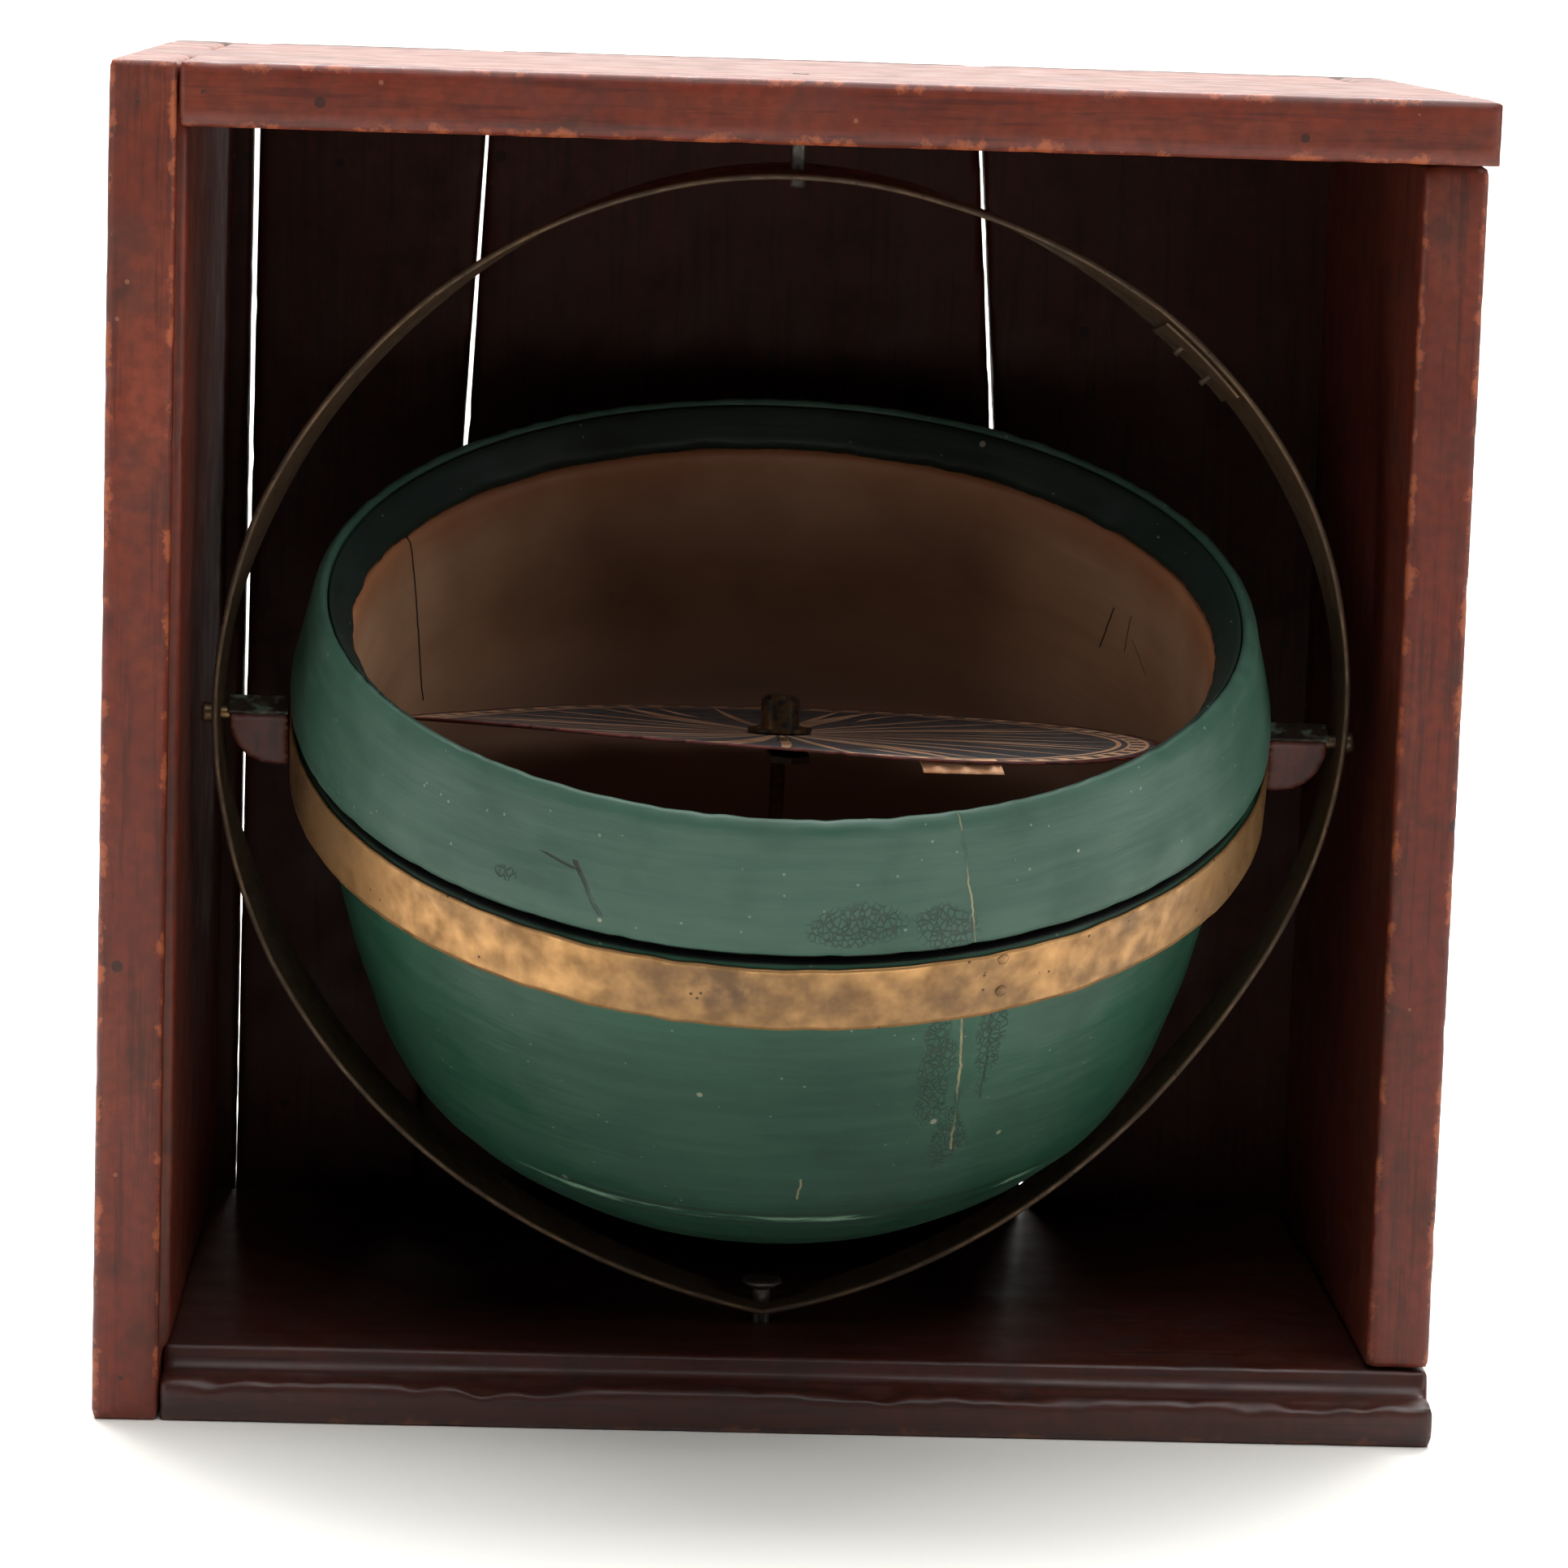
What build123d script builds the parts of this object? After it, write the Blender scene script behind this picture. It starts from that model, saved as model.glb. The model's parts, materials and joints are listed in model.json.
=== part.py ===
from build123d import *
import math
import os

# A gimballed dry-card boat compass in its dovetailed box, millimetres.
# The box stands on one side board: X to the right, Y from the open lid side to the back, Z up.
# It is drawn with Y = 0 at the front edges of the boards, then moved so that the origin
# is the middle of the whole object's footprint, with the leaning bowl counted.

# --- from the front edges back to the middle of the footprint ---
footprint_middle = 46.0

# --- box ---
box_half_width = 125.75
box_height = 252.0
frame_depth = 138.5
plank_thickness = 9.5
top_thickness = 12.0
floor_thickness = 12.8
left_lip_thickness = 12.55
left_wall_thickness = 14.05
right_thickness = 12.05
top_overhang = 0.5
edge_round = 1.0
joint_gap = 0.1

# --- groove for the sliding lid ---
groove_front = 4.0
groove_back = 8.0
groove_depth = 4.0
broken_lip_height = 8.3

# --- dovetails: where they start and end along Y ---
tail_start = 33.0
tail_end = 77.0
tail_flare = 3.0
right_pin_start = 100.0

# --- gaps between the back planks: height, X of the middle and width, from the foot up ---
plank_gaps = (
    ((0, -107.9, 0.1), (box_height, -107.1, 1.2)),
    ((0, -71.0, 0.1), (75, -67.5, 0.1), (105, -66.1, 1.35), (box_height, -59.2, 0.8)),
    ((0, 59.8, 1.1), (box_height, 40.5, 0.9)),
)

# --- nails ---
nail_head_radius = 2.2
nail_head_thickness = 0.6
nail_shank_radius = 0.9
nail_length = 17.0
front_nail_radius = 1.2
front_nail_length = 8.0
back_nail_columns = (-117.0, -94.0, -74.0, -50.0, 32.0, 72.0, 115.0)
back_nail_rows = (6.5, 246.0)
front_nail_spots = ((-120.0, 244.0), (-108.5, 246.5), (-120.0, 8.0), (118.5, 4.5))
side_nail_y = 15.0
side_nail_z = 4.4
side_nail_radius = 1.8

# --- gimbal axes ---
pivot_y = 36.5
trunnion_z = 128.6

# --- gimbal ring: outer radius of the hand-bent strip round the trunnion axis, by degrees from +X ---
strip_thickness = 1.2
strip_width = 13.0
strip_front = 30.0
ring_bends = (
    (-68, 105.6),
    (-45, 101.2),
    (-30, 101.4),
    (-14, 104.6),
    (0, 107.2),
    (16, 108.6),
    (45, 106.6),
    (70, 105.0),
    (90, 105.8),
    (112, 105.2),
    (135, 104.6),
    (158, 106.0),
    (180, 107.0),
    (200, 105.6),
    (225, 104.6),
    (248, 106.6),
)
ring_foot_angle = -90
ring_foot_radius = 113.4
ring_lap_angles = (39.0, 47.5)
ring_lap_thickness = 1.0
lap_rivet_angles = (41.2, 45.3)
lap_rivet_radius = 1.3

# --- ring pivots ---
upper_pin_radius = 1.5
upper_pin_inside = 3.6
lower_screw_radius = 1.7
lower_screw_bottom = 3.0
lower_head_radius = 3.8
lower_head_top = 21.2
lower_head_height = 2.2
running_gap = 0.05

# --- bowl, in its own axes: Z along the turning axis, origin on the trunnion axis ---
bowl_tilt = 20.0
neck_top = 18.7
neck_radius = 85.6
shoulder_top = 2.4
shoulder_foot = -10.4
shoulder_radius = 92.2
bowl_side = ((86.2, -10.4), (84.8, -25.0), (81.4, -41.0), (76.8, -57.0), (72.6, -65.3))
bowl_foot = ((65.6, -73.0), (57.0, -80.0), (46.0, -86.4))
mouth_radius = 81.4
cavity = ((79.4, 4.0), (78.4, -14.0), (75.6, -32.0), (69.0, -49.0), (57.0, -63.0), (46.0, -70.0))
cavity_floor = -71.0

collar_foot = 3.4
collar_top = 28.8
collar_foot_radius = 93.0
collar_top_radius = 88.8
collar_bore_radius = 85.7
putty_top = 28.2

hoop_thickness = 0.6
hoop_radius = 92.9
hoop_width = 12.2
hoop_tilt = 0.4
hoop_middle = -4.0
hoop_rivet_radius = 1.1
hoop_rivet_angle = -66.0
hoop_rivet_heights = (0.2, -6.4)

# --- trunnions ---
block_inner = 93.05
block_outer = 104.2
block_top = 1.35
block_foot = -9.2
block_depth = 6.5
block_corner = 8.5
plate_thickness = 0.9
plate_end = 104.7
trunnion_pin_radius = 1.25
trunnion_pin_inner = 95.5
trunnion_head_radius = 2.0
trunnion_head_inner = 107.5
trunnion_head_outer = 109.6

# --- card pivot: the card hangs almost level while the bowl leans ---
card_tilt = -4.2
card_drop = -1.0
card_radius = 72.6
card_thickness = 0.6
card_hole_radius = 3.1
tip_above_card = 2.0
post_radius = 1.4
post_foot_radius = 9.0
post_foot_height = 3.0
point_length = 12.0
point_tip_radius = 0.15
point_root_radius = 1.0

cap_radius = 3.7
cap_height = 7.0
cap_flange_radius = 6.1
cap_flange_thickness = 0.7
cap_bore_radius = 2.6
jewel_height = 3.0
jewel_recess_radius = 2.2
jewel_recess_depth = 1.4

needle_length = 118.0
needle_width = 7.0
needle_thickness = 1.2
needle_hub_radius = 7.0
needle_rivet_radius = 1.3
needle_rivet_spacing = 44.0

# --- ballast: a cast trimming weight against the wall on the side towards the open front ---
# It sits high and to one side, so the bowl hangs with its mouth leaning forwards.
ballast_profile = (
    (30.0, -70.8),
    (42.5, -70.8),
    (45.3, -69.7),
    (55.8, -63.2),
    (66.8, -50.6),
    (66.0, -44.0),
    (44.0, -50.0),
    (30.0, -60.0),
)
ballast_half_angle = 33.0

os.makedirs("parts", exist_ok=True)


def save(part, name):
    placed = part.moved(Location((0, -footprint_middle, 0)))
    placed.label = name
    export_step(placed, f"parts/{name}.step")


def polar(radius, degrees):
    return (radius * math.cos(math.radians(degrees)), radius * math.sin(math.radians(degrees)))


# ---------------------------------------------------------------- nails and pivots of the box

# Nails through the planks, heads just proud of the back
box_depth = frame_depth + plank_thickness
nail_back = Plane.XZ.offset(-(box_depth + nail_head_thickness / 2))
back_nail_spots = [(x, z) for x in back_nail_columns for z in back_nail_rows]
with BuildPart() as back_nails:
    with BuildSketch(nail_back):
        with Locations(*back_nail_spots):
            Circle(nail_head_radius)
    extrude(amount=nail_head_thickness)
    with BuildSketch(nail_back):
        with Locations(*back_nail_spots):
            Circle(nail_shank_radius)
    extrude(amount=nail_length)
save(back_nails.part, "back_nails")

# Small nails driven into the front edges at the corners
with BuildPart() as front_nails:
    with BuildSketch(Plane.XZ):
        with Locations(*front_nail_spots):
            Circle(front_nail_radius)
    extrude(amount=-front_nail_length)
save(front_nails.part, "front_nails")

# One nail through the left board into the end of the floor board
side_plane = Plane.YZ.offset(-(box_half_width + top_overhang))
with BuildPart() as side_nail:
    with BuildSketch(side_plane):
        with Locations((side_nail_y, side_nail_z)):
            Circle(side_nail_radius)
    extrude(amount=nail_length)
save(side_nail.part, "side_nail")

# Pin from the top board down through the ring
with BuildPart() as upper_pivot_pin:
    pin_bottom = trunnion_z + 105.8 - upper_pin_inside
    with BuildSketch(Plane.XY.offset(pin_bottom)):
        with Locations((0, pivot_y)):
            Circle(upper_pin_radius)
    extrude(amount=box_height - pin_bottom)
    chamfer(upper_pivot_pin.faces().sort_by(Axis.Z)[0].edges(), 0.4)
save(upper_pivot_pin.part, "upper_pivot_pin")

# Mushroom-headed screw up through the foot of the ring, threaded into the floor
with BuildPart() as lower_pivot_screw:
    with BuildSketch(Plane.XZ.offset(-pivot_y)):
        with BuildLine():
            Polyline(
                (0, lower_screw_bottom),
                (lower_screw_radius, lower_screw_bottom + 2),
                (lower_screw_radius, lower_head_top - lower_head_height),
                (lower_head_radius, lower_head_top - 0.9),
                (lower_head_radius, lower_head_top - 0.4),
                (lower_head_radius - 0.7, lower_head_top),
                (0, lower_head_top),
                close=True,
            )
        make_face()
    revolve(axis=Axis((0, pivot_y, 0), (0, 0, 1)))
    with BuildSketch(Plane.XY.offset(lower_head_top)):
        with Locations((0, pivot_y)):
            Rectangle(8, 0.9)
    extrude(amount=-0.8, mode=Mode.SUBTRACT)
save(lower_pivot_screw.part, "lower_pivot_screw")

box_metal = [
    back_nails.part,
    front_nails.part,
    side_nail.part,
    upper_pivot_pin.part,
    lower_pivot_screw.part,
]

# ---------------------------------------------------------------- box boards

left_shoulder = -box_half_width + left_lip_thickness
left_wall = -box_half_width + left_wall_thickness
right_wall = box_half_width - right_thickness
ceiling = box_height - top_thickness


def tail_outline(grow):
    """One dovetail at the left, flared towards the outer face, with its size changed by grow."""
    return (
        (left_shoulder + grow, tail_start + tail_flare - grow),
        (-box_half_width, tail_start - grow),
        (-box_half_width, tail_end + grow),
        (left_shoulder + grow, tail_end - tail_flare + grow),
    )


# Top board: the ceiling with one dovetail at the left, lapping the right board at the front
with BuildPart() as top_board:
    with BuildSketch(Plane.XY.offset(ceiling)):
        with BuildLine():
            Polyline(
                (left_shoulder, 0),
                (box_half_width + top_overhang, 0),
                (box_half_width + top_overhang, right_pin_start - tail_flare),
                (right_wall, right_pin_start),
                (right_wall, frame_depth),
                (left_shoulder, frame_depth),
                close=True,
            )
        make_face()
        with BuildLine():
            Polyline(*tail_outline(0), close=True)
        make_face()
    extrude(amount=top_thickness)
    fillet(top_board.edges().filter_by(Axis.X).group_by(Axis.Y)[0], edge_round)
    with BuildSketch(Plane.XY.offset(ceiling)):
        with Locations((left_shoulder, groove_front)):
            Rectangle(2 * box_half_width + 20, groove_back - groove_front, align=(Align.MIN, Align.MIN))
    extrude(amount=groove_depth, mode=Mode.SUBTRACT)
    for metal in box_metal:
        add(metal, mode=Mode.SUBTRACT)
save(top_board.part, "top_board")

# Bottom board: the floor, its outer groove lip broken down to a low ledge
with BuildPart() as bottom_board:
    with BuildSketch():
        with BuildLine():
            Polyline(
                (left_shoulder, 0),
                (box_half_width, 0),
                (box_half_width, right_pin_start - tail_flare),
                (right_wall, right_pin_start),
                (right_wall, frame_depth),
                (left_shoulder, frame_depth),
                close=True,
            )
        make_face()
        with BuildLine():
            Polyline(*tail_outline(0), close=True)
        make_face()
    extrude(amount=floor_thickness)
    with BuildSketch(Plane.XY.offset(floor_thickness)):
        with Locations((left_shoulder, 0)):
            Rectangle(2 * box_half_width + 20, groove_back, align=(Align.MIN, Align.MIN))
    extrude(amount=broken_lip_height - floor_thickness, mode=Mode.SUBTRACT)
    fillet(bottom_board.edges().filter_by(Axis.X).group_by(Axis.Y)[0], edge_round)
    for metal in box_metal:
        add(metal, mode=Mode.SUBTRACT)
save(bottom_board.part, "bottom_board")

# Left board: full height, thicker behind the lid groove, notched for the two dovetails
with BuildPart() as left_board:
    with BuildSketch():
        with Locations((-box_half_width, 0)):
            Rectangle(left_lip_thickness - joint_gap, frame_depth, align=(Align.MIN, Align.MIN))
    extrude(amount=box_height)
    with BuildSketch(Plane.XY.offset(floor_thickness + joint_gap)):
        with Locations((-box_half_width, groove_back)):
            Rectangle(left_wall_thickness, frame_depth - groove_back, align=(Align.MIN, Align.MIN))
    extrude(amount=ceiling - floor_thickness - 2 * joint_gap)
    fillet(left_board.edges().filter_by(Axis.Z).group_by(Axis.Y)[0], edge_round)
    with BuildSketch(Plane.XY.offset(broken_lip_height)):
        with Locations((left_shoulder, groove_front)):
            Rectangle(groove_depth, groove_back - groove_front, align=(Align.MAX, Align.MIN))
    extrude(amount=ceiling + groove_depth - broken_lip_height, mode=Mode.SUBTRACT)
    for height in (-joint_gap, ceiling - joint_gap):
        with BuildSketch(Plane.XY.offset(height)):
            with BuildLine():
                Polyline(*tail_outline(joint_gap), close=True)
            make_face()
        extrude(amount=floor_thickness + 2 * joint_gap, mode=Mode.SUBTRACT)
    for metal in box_metal:
        add(metal, mode=Mode.SUBTRACT)
save(left_board.part, "left_board")

# Right board: the low end that the lid slid over, with one pin at each end behind the laps
with BuildPart() as right_board:
    right_foot = floor_thickness + 0.5
    with BuildSketch(Plane.XY.offset(right_foot)):
        with Locations((right_wall, groove_back)):
            Rectangle(right_thickness, frame_depth - groove_back, align=(Align.MIN, Align.MIN))
    extrude(amount=ceiling - joint_gap - right_foot)
    fillet(right_board.edges().filter_by(Axis.Z).group_by(Axis.Y)[0], edge_round)
    with BuildSketch():
        with BuildLine():
            Polyline(
                (right_wall + joint_gap, right_pin_start + 3 * joint_gap),
                (box_half_width, right_pin_start - tail_flare + 3 * joint_gap),
                (box_half_width, frame_depth),
                (right_wall + joint_gap, frame_depth),
                close=True,
            )
        make_face()
    extrude(amount=box_height)
    for metal in box_metal:
        add(metal, mode=Mode.SUBTRACT)
save(right_board.part, "right_board")

# Back planks: four upright boards nailed over the frame, with open gaps where they have shrunk
outer_edges = [((0, x, 0), (box_height, x, 0)) for x in (-box_half_width, box_half_width)]
plank_edges = (outer_edges[0], *plank_gaps, outer_edges[1])
for number, (left_edge, right_edge) in enumerate(zip(plank_edges, plank_edges[1:]), start=1):
    left_side = [(x + width / 2, height) for height, x, width in left_edge]
    right_side = [(x - width / 2, height) for height, x, width in right_edge]
    with BuildPart() as back_plank:
        with BuildSketch(Plane.XZ.offset(-frame_depth)):
            with BuildLine():
                Polyline(*left_side, *reversed(right_side), close=True)
            make_face()
        extrude(amount=-plank_thickness)
        for metal in box_metal:
            add(metal, mode=Mode.SUBTRACT)
    save(back_plank.part, f"back_plank_{number}")

# ---------------------------------------------------------------- gimbal ring


def ring_points(inset):
    points = [polar(radius - inset, angle) for angle, radius in ring_bends]
    foot = polar(ring_foot_radius - inset, ring_foot_angle)
    return [foot] + points + [foot]


ring_plane = Plane(origin=(0, strip_front, trunnion_z), x_dir=(1, 0, 0), z_dir=(0, -1, 0))
trunnion_axis = Axis((0, pivot_y, trunnion_z), (1, 0, 0))

with BuildPart() as gimbal_ring:
    with BuildSketch(ring_plane):
        with BuildLine():
            Spline(*ring_points(0))
        make_face()
        with BuildLine():
            Spline(*ring_points(strip_thickness))
        make_face(mode=Mode.SUBTRACT)
    extrude(amount=-strip_width)
    # hole for the upper pin, then for the lower screw, then for the two trunnion pins
    with BuildSketch(Plane.XY.offset(trunnion_z)):
        with Locations((0, pivot_y)):
            Circle(upper_pin_radius + running_gap)
    extrude(amount=120, mode=Mode.SUBTRACT)
    with BuildSketch(Plane.XY.offset(trunnion_z)):
        with Locations((0, pivot_y)):
            Circle(lower_screw_radius + running_gap)
    extrude(amount=-120, mode=Mode.SUBTRACT)
    with BuildSketch(Plane.YZ):
        with Locations((pivot_y, trunnion_z)):
            Circle(trunnion_pin_radius + running_gap)
    extrude(amount=120, both=True, mode=Mode.SUBTRACT)

# The overlapped end of the strip, riveted down inside the ring at the upper right
with BuildPart() as ring_lap:
    with BuildSketch(ring_plane):
        with BuildLine():
            Spline(*ring_points(strip_thickness + 0.02))
        make_face()
        with BuildLine():
            Spline(*ring_points(strip_thickness + ring_lap_thickness))
        make_face(mode=Mode.SUBTRACT)
        with BuildLine():
            Polyline((0, 0), polar(150, ring_lap_angles[0]), polar(150, ring_lap_angles[1]), close=True)
        make_face(mode=Mode.INTERSECT)
    extrude(amount=-strip_width)

with BuildPart() as lap_rivets:
    for angle in lap_rivet_angles:
        across = Vector(math.cos(math.radians(angle)), 0, math.sin(math.radians(angle)))
        root = Vector(0, pivot_y, trunnion_z) + across * 103.2
        with BuildSketch(Plane(origin=root, z_dir=across)):
            Circle(lap_rivet_radius)
        extrude(amount=4.4)

for name, strip in (("gimbal_ring", gimbal_ring), ("ring_lap", ring_lap)):
    with BuildPart() as drilled:
        add(strip.part)
        add(lap_rivets.part, mode=Mode.SUBTRACT)
    save(drilled.part, name)
save(lap_rivets.part, "lap_rivets")

# ---------------------------------------------------------------- bowl, upright in its own axes

bowl_pose = Location((0, pivot_y, trunnion_z), (bowl_tilt, 0, 0))
upright = Axis((0, 0, 0), (0, 0, 1))

# Hoop rivets stand through the hoop into the shoulder
with BuildPart() as band_rivets:
    facing = Vector(math.cos(math.radians(hoop_rivet_angle)), math.sin(math.radians(hoop_rivet_angle)), 0)
    for height in hoop_rivet_heights:
        with BuildSketch(Plane(origin=facing * (shoulder_radius - 5) + Vector(0, 0, height), z_dir=facing)):
            Circle(hoop_rivet_radius)
        extrude(amount=6.1)

# Trunnion pins: shank through the ring into the block, low round head outside the ring
pin_sides = (("left", -1), ("right", 1))
trunnion_pins = {}
for side, sign in pin_sides:
    with BuildPart() as trunnion_pin:
        with BuildSketch(Plane(origin=(sign * trunnion_pin_inner, 0, 0), z_dir=(sign, 0, 0))):
            Circle(trunnion_pin_radius)
        extrude(amount=trunnion_head_inner - trunnion_pin_inner)
        with BuildSketch(Plane(origin=(sign * trunnion_head_inner, 0, 0), z_dir=(sign, 0, 0))):
            Circle(trunnion_head_radius)
        extrude(amount=trunnion_head_outer - trunnion_head_inner)
        outer_face = trunnion_pin.faces().filter_by(Axis.X).sort_by(lambda f: sign * f.center().X)[-1]
        fillet(outer_face.edges(), 0.8)
    trunnion_pins[side] = trunnion_pin.part

# Steel point and the post it stands in
tip_height = card_drop + tip_above_card
with BuildPart() as pivot_point:
    with BuildSketch(Plane.XZ):
        with BuildLine():
            Polyline(
                (0, tip_height),
                (point_tip_radius, tip_height),
                (point_root_radius, tip_height - point_length * 0.7),
                (point_root_radius, tip_height - point_length),
                (0, tip_height - point_length),
                close=True,
            )
        make_face()
    revolve(axis=upright)

with BuildPart() as pivot_post:
    with BuildSketch(Plane.XZ):
        with BuildLine():
            Polyline(
                (0, cavity_floor),
                (post_foot_radius, cavity_floor),
                (post_foot_radius, cavity_floor + post_foot_height),
                (post_radius + 2.5, cavity_floor + post_foot_height + 1.5),
                (post_radius + 0.6, cavity_floor + post_foot_height + 9),
                (post_radius, cavity_floor + post_foot_height + 16),
                (post_radius, tip_height - point_length + 4),
                (0, tip_height - point_length + 4),
                close=True,
            )
        make_face()
    revolve(axis=upright)
    add(pivot_point.part, mode=Mode.SUBTRACT)

# Ballast cast to the curve of the inside
ballast_start = math.radians(-90 - ballast_half_angle)
ballast_plane = Plane(
    origin=(0, 0, 0),
    x_dir=(math.cos(ballast_start), math.sin(ballast_start), 0),
    z_dir=(math.sin(ballast_start), -math.cos(ballast_start), 0),
)
with BuildPart() as ballast_weight:
    with BuildSketch(ballast_plane):
        with BuildLine():
            Polyline(*ballast_profile, close=True)
        make_face()
    revolve(axis=upright, revolution_arc=2 * ballast_half_angle)

# Turned bowl: neck inside the collar, shoulder under the hoop, then the rounded body
with BuildPart() as bowl_body:
    with BuildSketch(Plane.XZ):
        with BuildLine():
            Polyline(
                (mouth_radius, neck_top),
                (neck_radius, neck_top),
                (neck_radius, shoulder_top),
                (shoulder_radius, shoulder_top),
                (shoulder_radius, shoulder_foot),
                bowl_side[0],
            )
            Spline(*bowl_side)
            Spline(bowl_side[-1], *bowl_foot)
            Line(bowl_foot[-1], (0, bowl_foot[-1][1]))
            Line((0, bowl_foot[-1][1]), (0, cavity_floor))
            Line((0, cavity_floor), (cavity[-1][0] - 3.0, cavity_floor))
            Spline((cavity[-1][0] - 3.0, cavity_floor), *reversed(cavity))
            Line(cavity[0], (mouth_radius, neck_top))
        make_face()
    revolve(axis=upright)
    add(band_rivets.part, mode=Mode.SUBTRACT)
    for pin in trunnion_pins.values():
        add(pin, mode=Mode.SUBTRACT)

# Turned collar round the neck
with BuildPart() as collar_ring:
    with BuildSketch(Plane.XZ):
        with BuildLine():
            Polyline(
                (collar_bore_radius, collar_foot),
                (collar_foot_radius - 0.8, collar_foot),
                (collar_foot_radius, collar_foot + 0.8),
                (collar_foot_radius, collar_foot + 6),
                (collar_top_radius, collar_top - 1.4),
                (collar_top_radius - 1.2, collar_top),
                (collar_bore_radius, collar_top),
                close=True,
            )
        make_face()
    revolve(axis=upright)

# Putty fillet: a sloping ring inside the collar, down to the edge of the mouth
with BuildPart() as putty_bead:
    with BuildSketch(Plane.XZ):
        with BuildLine():
            Polyline(
                (mouth_radius + 0.1, neck_top),
                (collar_bore_radius, neck_top),
                (collar_bore_radius, putty_top),
                (mouth_radius + 2.2, putty_top - 6.0),
                (mouth_radius + 0.1, neck_top + 0.8),
                close=True,
            )
        make_face()
    revolve(axis=upright)

# Hoop nailed round the shoulder, a little lower at the front
with BuildPart() as brass_band:
    with BuildSketch(Plane.XZ.rotated((hoop_tilt, 0, 0), ordering=Intrinsic.XYZ)):
        with Locations((hoop_radius - hoop_thickness / 2, hoop_middle)):
            Rectangle(hoop_thickness, hoop_width)
    revolve(axis=Axis((0, 0, 0), tuple(Plane.XY.rotated((hoop_tilt, 0, 0)).z_dir)))
    add(band_rivets.part, mode=Mode.SUBTRACT)

# Trunnion blocks with a metal plate on top, one at each side
blocks = {}
plates = {}
for side, sign in pin_sides:
    with BuildPart() as trunnion_block:
        with BuildSketch(Plane.XZ.offset(block_depth / 2)):
            with BuildLine():
                Polyline(
                    (sign * (block_inner - 6), block_top),
                    (sign * block_outer, block_top),
                    (sign * block_outer, block_foot + block_corner),
                )
                ThreePointArc(
                    (sign * block_outer, block_foot + block_corner),
                    (sign * (block_outer - 0.293 * block_corner), block_foot + 0.293 * block_corner),
                    (sign * (block_outer - block_corner), block_foot),
                )
                Polyline(
                    (sign * (block_outer - block_corner), block_foot),
                    (sign * (block_inner - 6), block_foot),
                    (sign * (block_inner - 6), block_top),
                )
            make_face()
        extrude(amount=-block_depth)
        with BuildSketch(Plane.XY.offset(block_foot)):
            Circle(block_inner)
        extrude(amount=block_top - block_foot, mode=Mode.SUBTRACT)
        add(trunnion_pins[side], mode=Mode.SUBTRACT)
    with BuildPart() as trunnion_plate:
        with BuildSketch(Plane.XY.offset(block_top)):
            with Locations((sign * (block_inner - 6), 0)):
                Rectangle(
                    plate_end - block_inner + 6,
                    block_depth,
                    align=(Align.MIN if sign > 0 else Align.MAX, Align.CENTER),
                )
            Circle(block_inner, mode=Mode.SUBTRACT)
        extrude(amount=plate_thickness)
    blocks[side] = trunnion_block.part
    plates[side] = trunnion_plate.part

save(bowl_body.part.moved(bowl_pose), "bowl_body")
save(collar_ring.part.moved(bowl_pose), "collar_ring")
save(putty_bead.part.moved(bowl_pose), "putty_bead")
save(brass_band.part.moved(bowl_pose), "brass_band")
save(band_rivets.part.moved(bowl_pose), "band_rivets")
save(pivot_post.part.moved(bowl_pose), "pivot_post")
save(pivot_point.part.moved(bowl_pose), "pivot_point")
save(ballast_weight.part.moved(bowl_pose), "ballast_weight")
for side, sign in pin_sides:
    save(trunnion_pins[side].moved(bowl_pose), f"{side}_trunnion_pin")
    save(blocks[side].moved(bowl_pose), f"{side}_trunnion_block")
    save(plates[side].moved(bowl_pose), f"{side}_trunnion_plate")

# ---------------------------------------------------------------- card, flat in its own axes

tilt = math.radians(bowl_tilt)
tip_point = (
    0,
    pivot_y - tip_height * math.sin(tilt),
    trunnion_z + tip_height * math.cos(tilt),
)
card_pose = Location(tip_point, (card_tilt, 0, 0))
card_top = -tip_above_card + card_thickness / 2
card_foot = card_top - card_thickness

# Rivets through the needle and the card
with BuildPart() as needle_rivets:
    with BuildSketch(Plane.XY.offset(card_foot - needle_thickness)):
        with GridLocations(0, needle_rivet_spacing, 1, 2):
            Circle(needle_rivet_radius)
    extrude(amount=needle_thickness + card_thickness + 0.4)

# Paper-faced card with a hole for the point
with BuildPart() as card_disc:
    with BuildSketch(Plane.XY.offset(card_foot)):
        Circle(card_radius)
        Circle(card_hole_radius, mode=Mode.SUBTRACT)
    extrude(amount=card_thickness)
    add(needle_rivets.part, mode=Mode.SUBTRACT)

# Magnetised bar under the card, opened out round the point
with BuildPart() as compass_needle:
    with BuildSketch(Plane.XY.offset(card_foot)):
        with BuildLine():
            Polyline(
                (0, needle_length / 2),
                (needle_width / 2, needle_length / 2 - 6),
                (needle_width / 2, -needle_length / 2 + 6),
                (0, -needle_length / 2),
                (-needle_width / 2, -needle_length / 2 + 6),
                (-needle_width / 2, needle_length / 2 - 6),
                close=True,
            )
        make_face()
        Circle(needle_hub_radius)
        Circle(card_hole_radius, mode=Mode.SUBTRACT)
    extrude(amount=-needle_thickness)
    add(needle_rivets.part, mode=Mode.SUBTRACT)

# Stone jewel with a cone that rides on the point
with BuildPart() as cap_jewel:
    with BuildSketch(Plane.XZ):
        with BuildLine():
            Polyline(
                (0, running_gap),
                (jewel_recess_radius, running_gap - jewel_recess_depth),
                (cap_bore_radius, running_gap - jewel_recess_depth),
                (cap_bore_radius, running_gap - jewel_recess_depth + jewel_height),
                (0, running_gap - jewel_recess_depth + jewel_height),
                close=True,
            )
        make_face()
    revolve(axis=upright)

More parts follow.
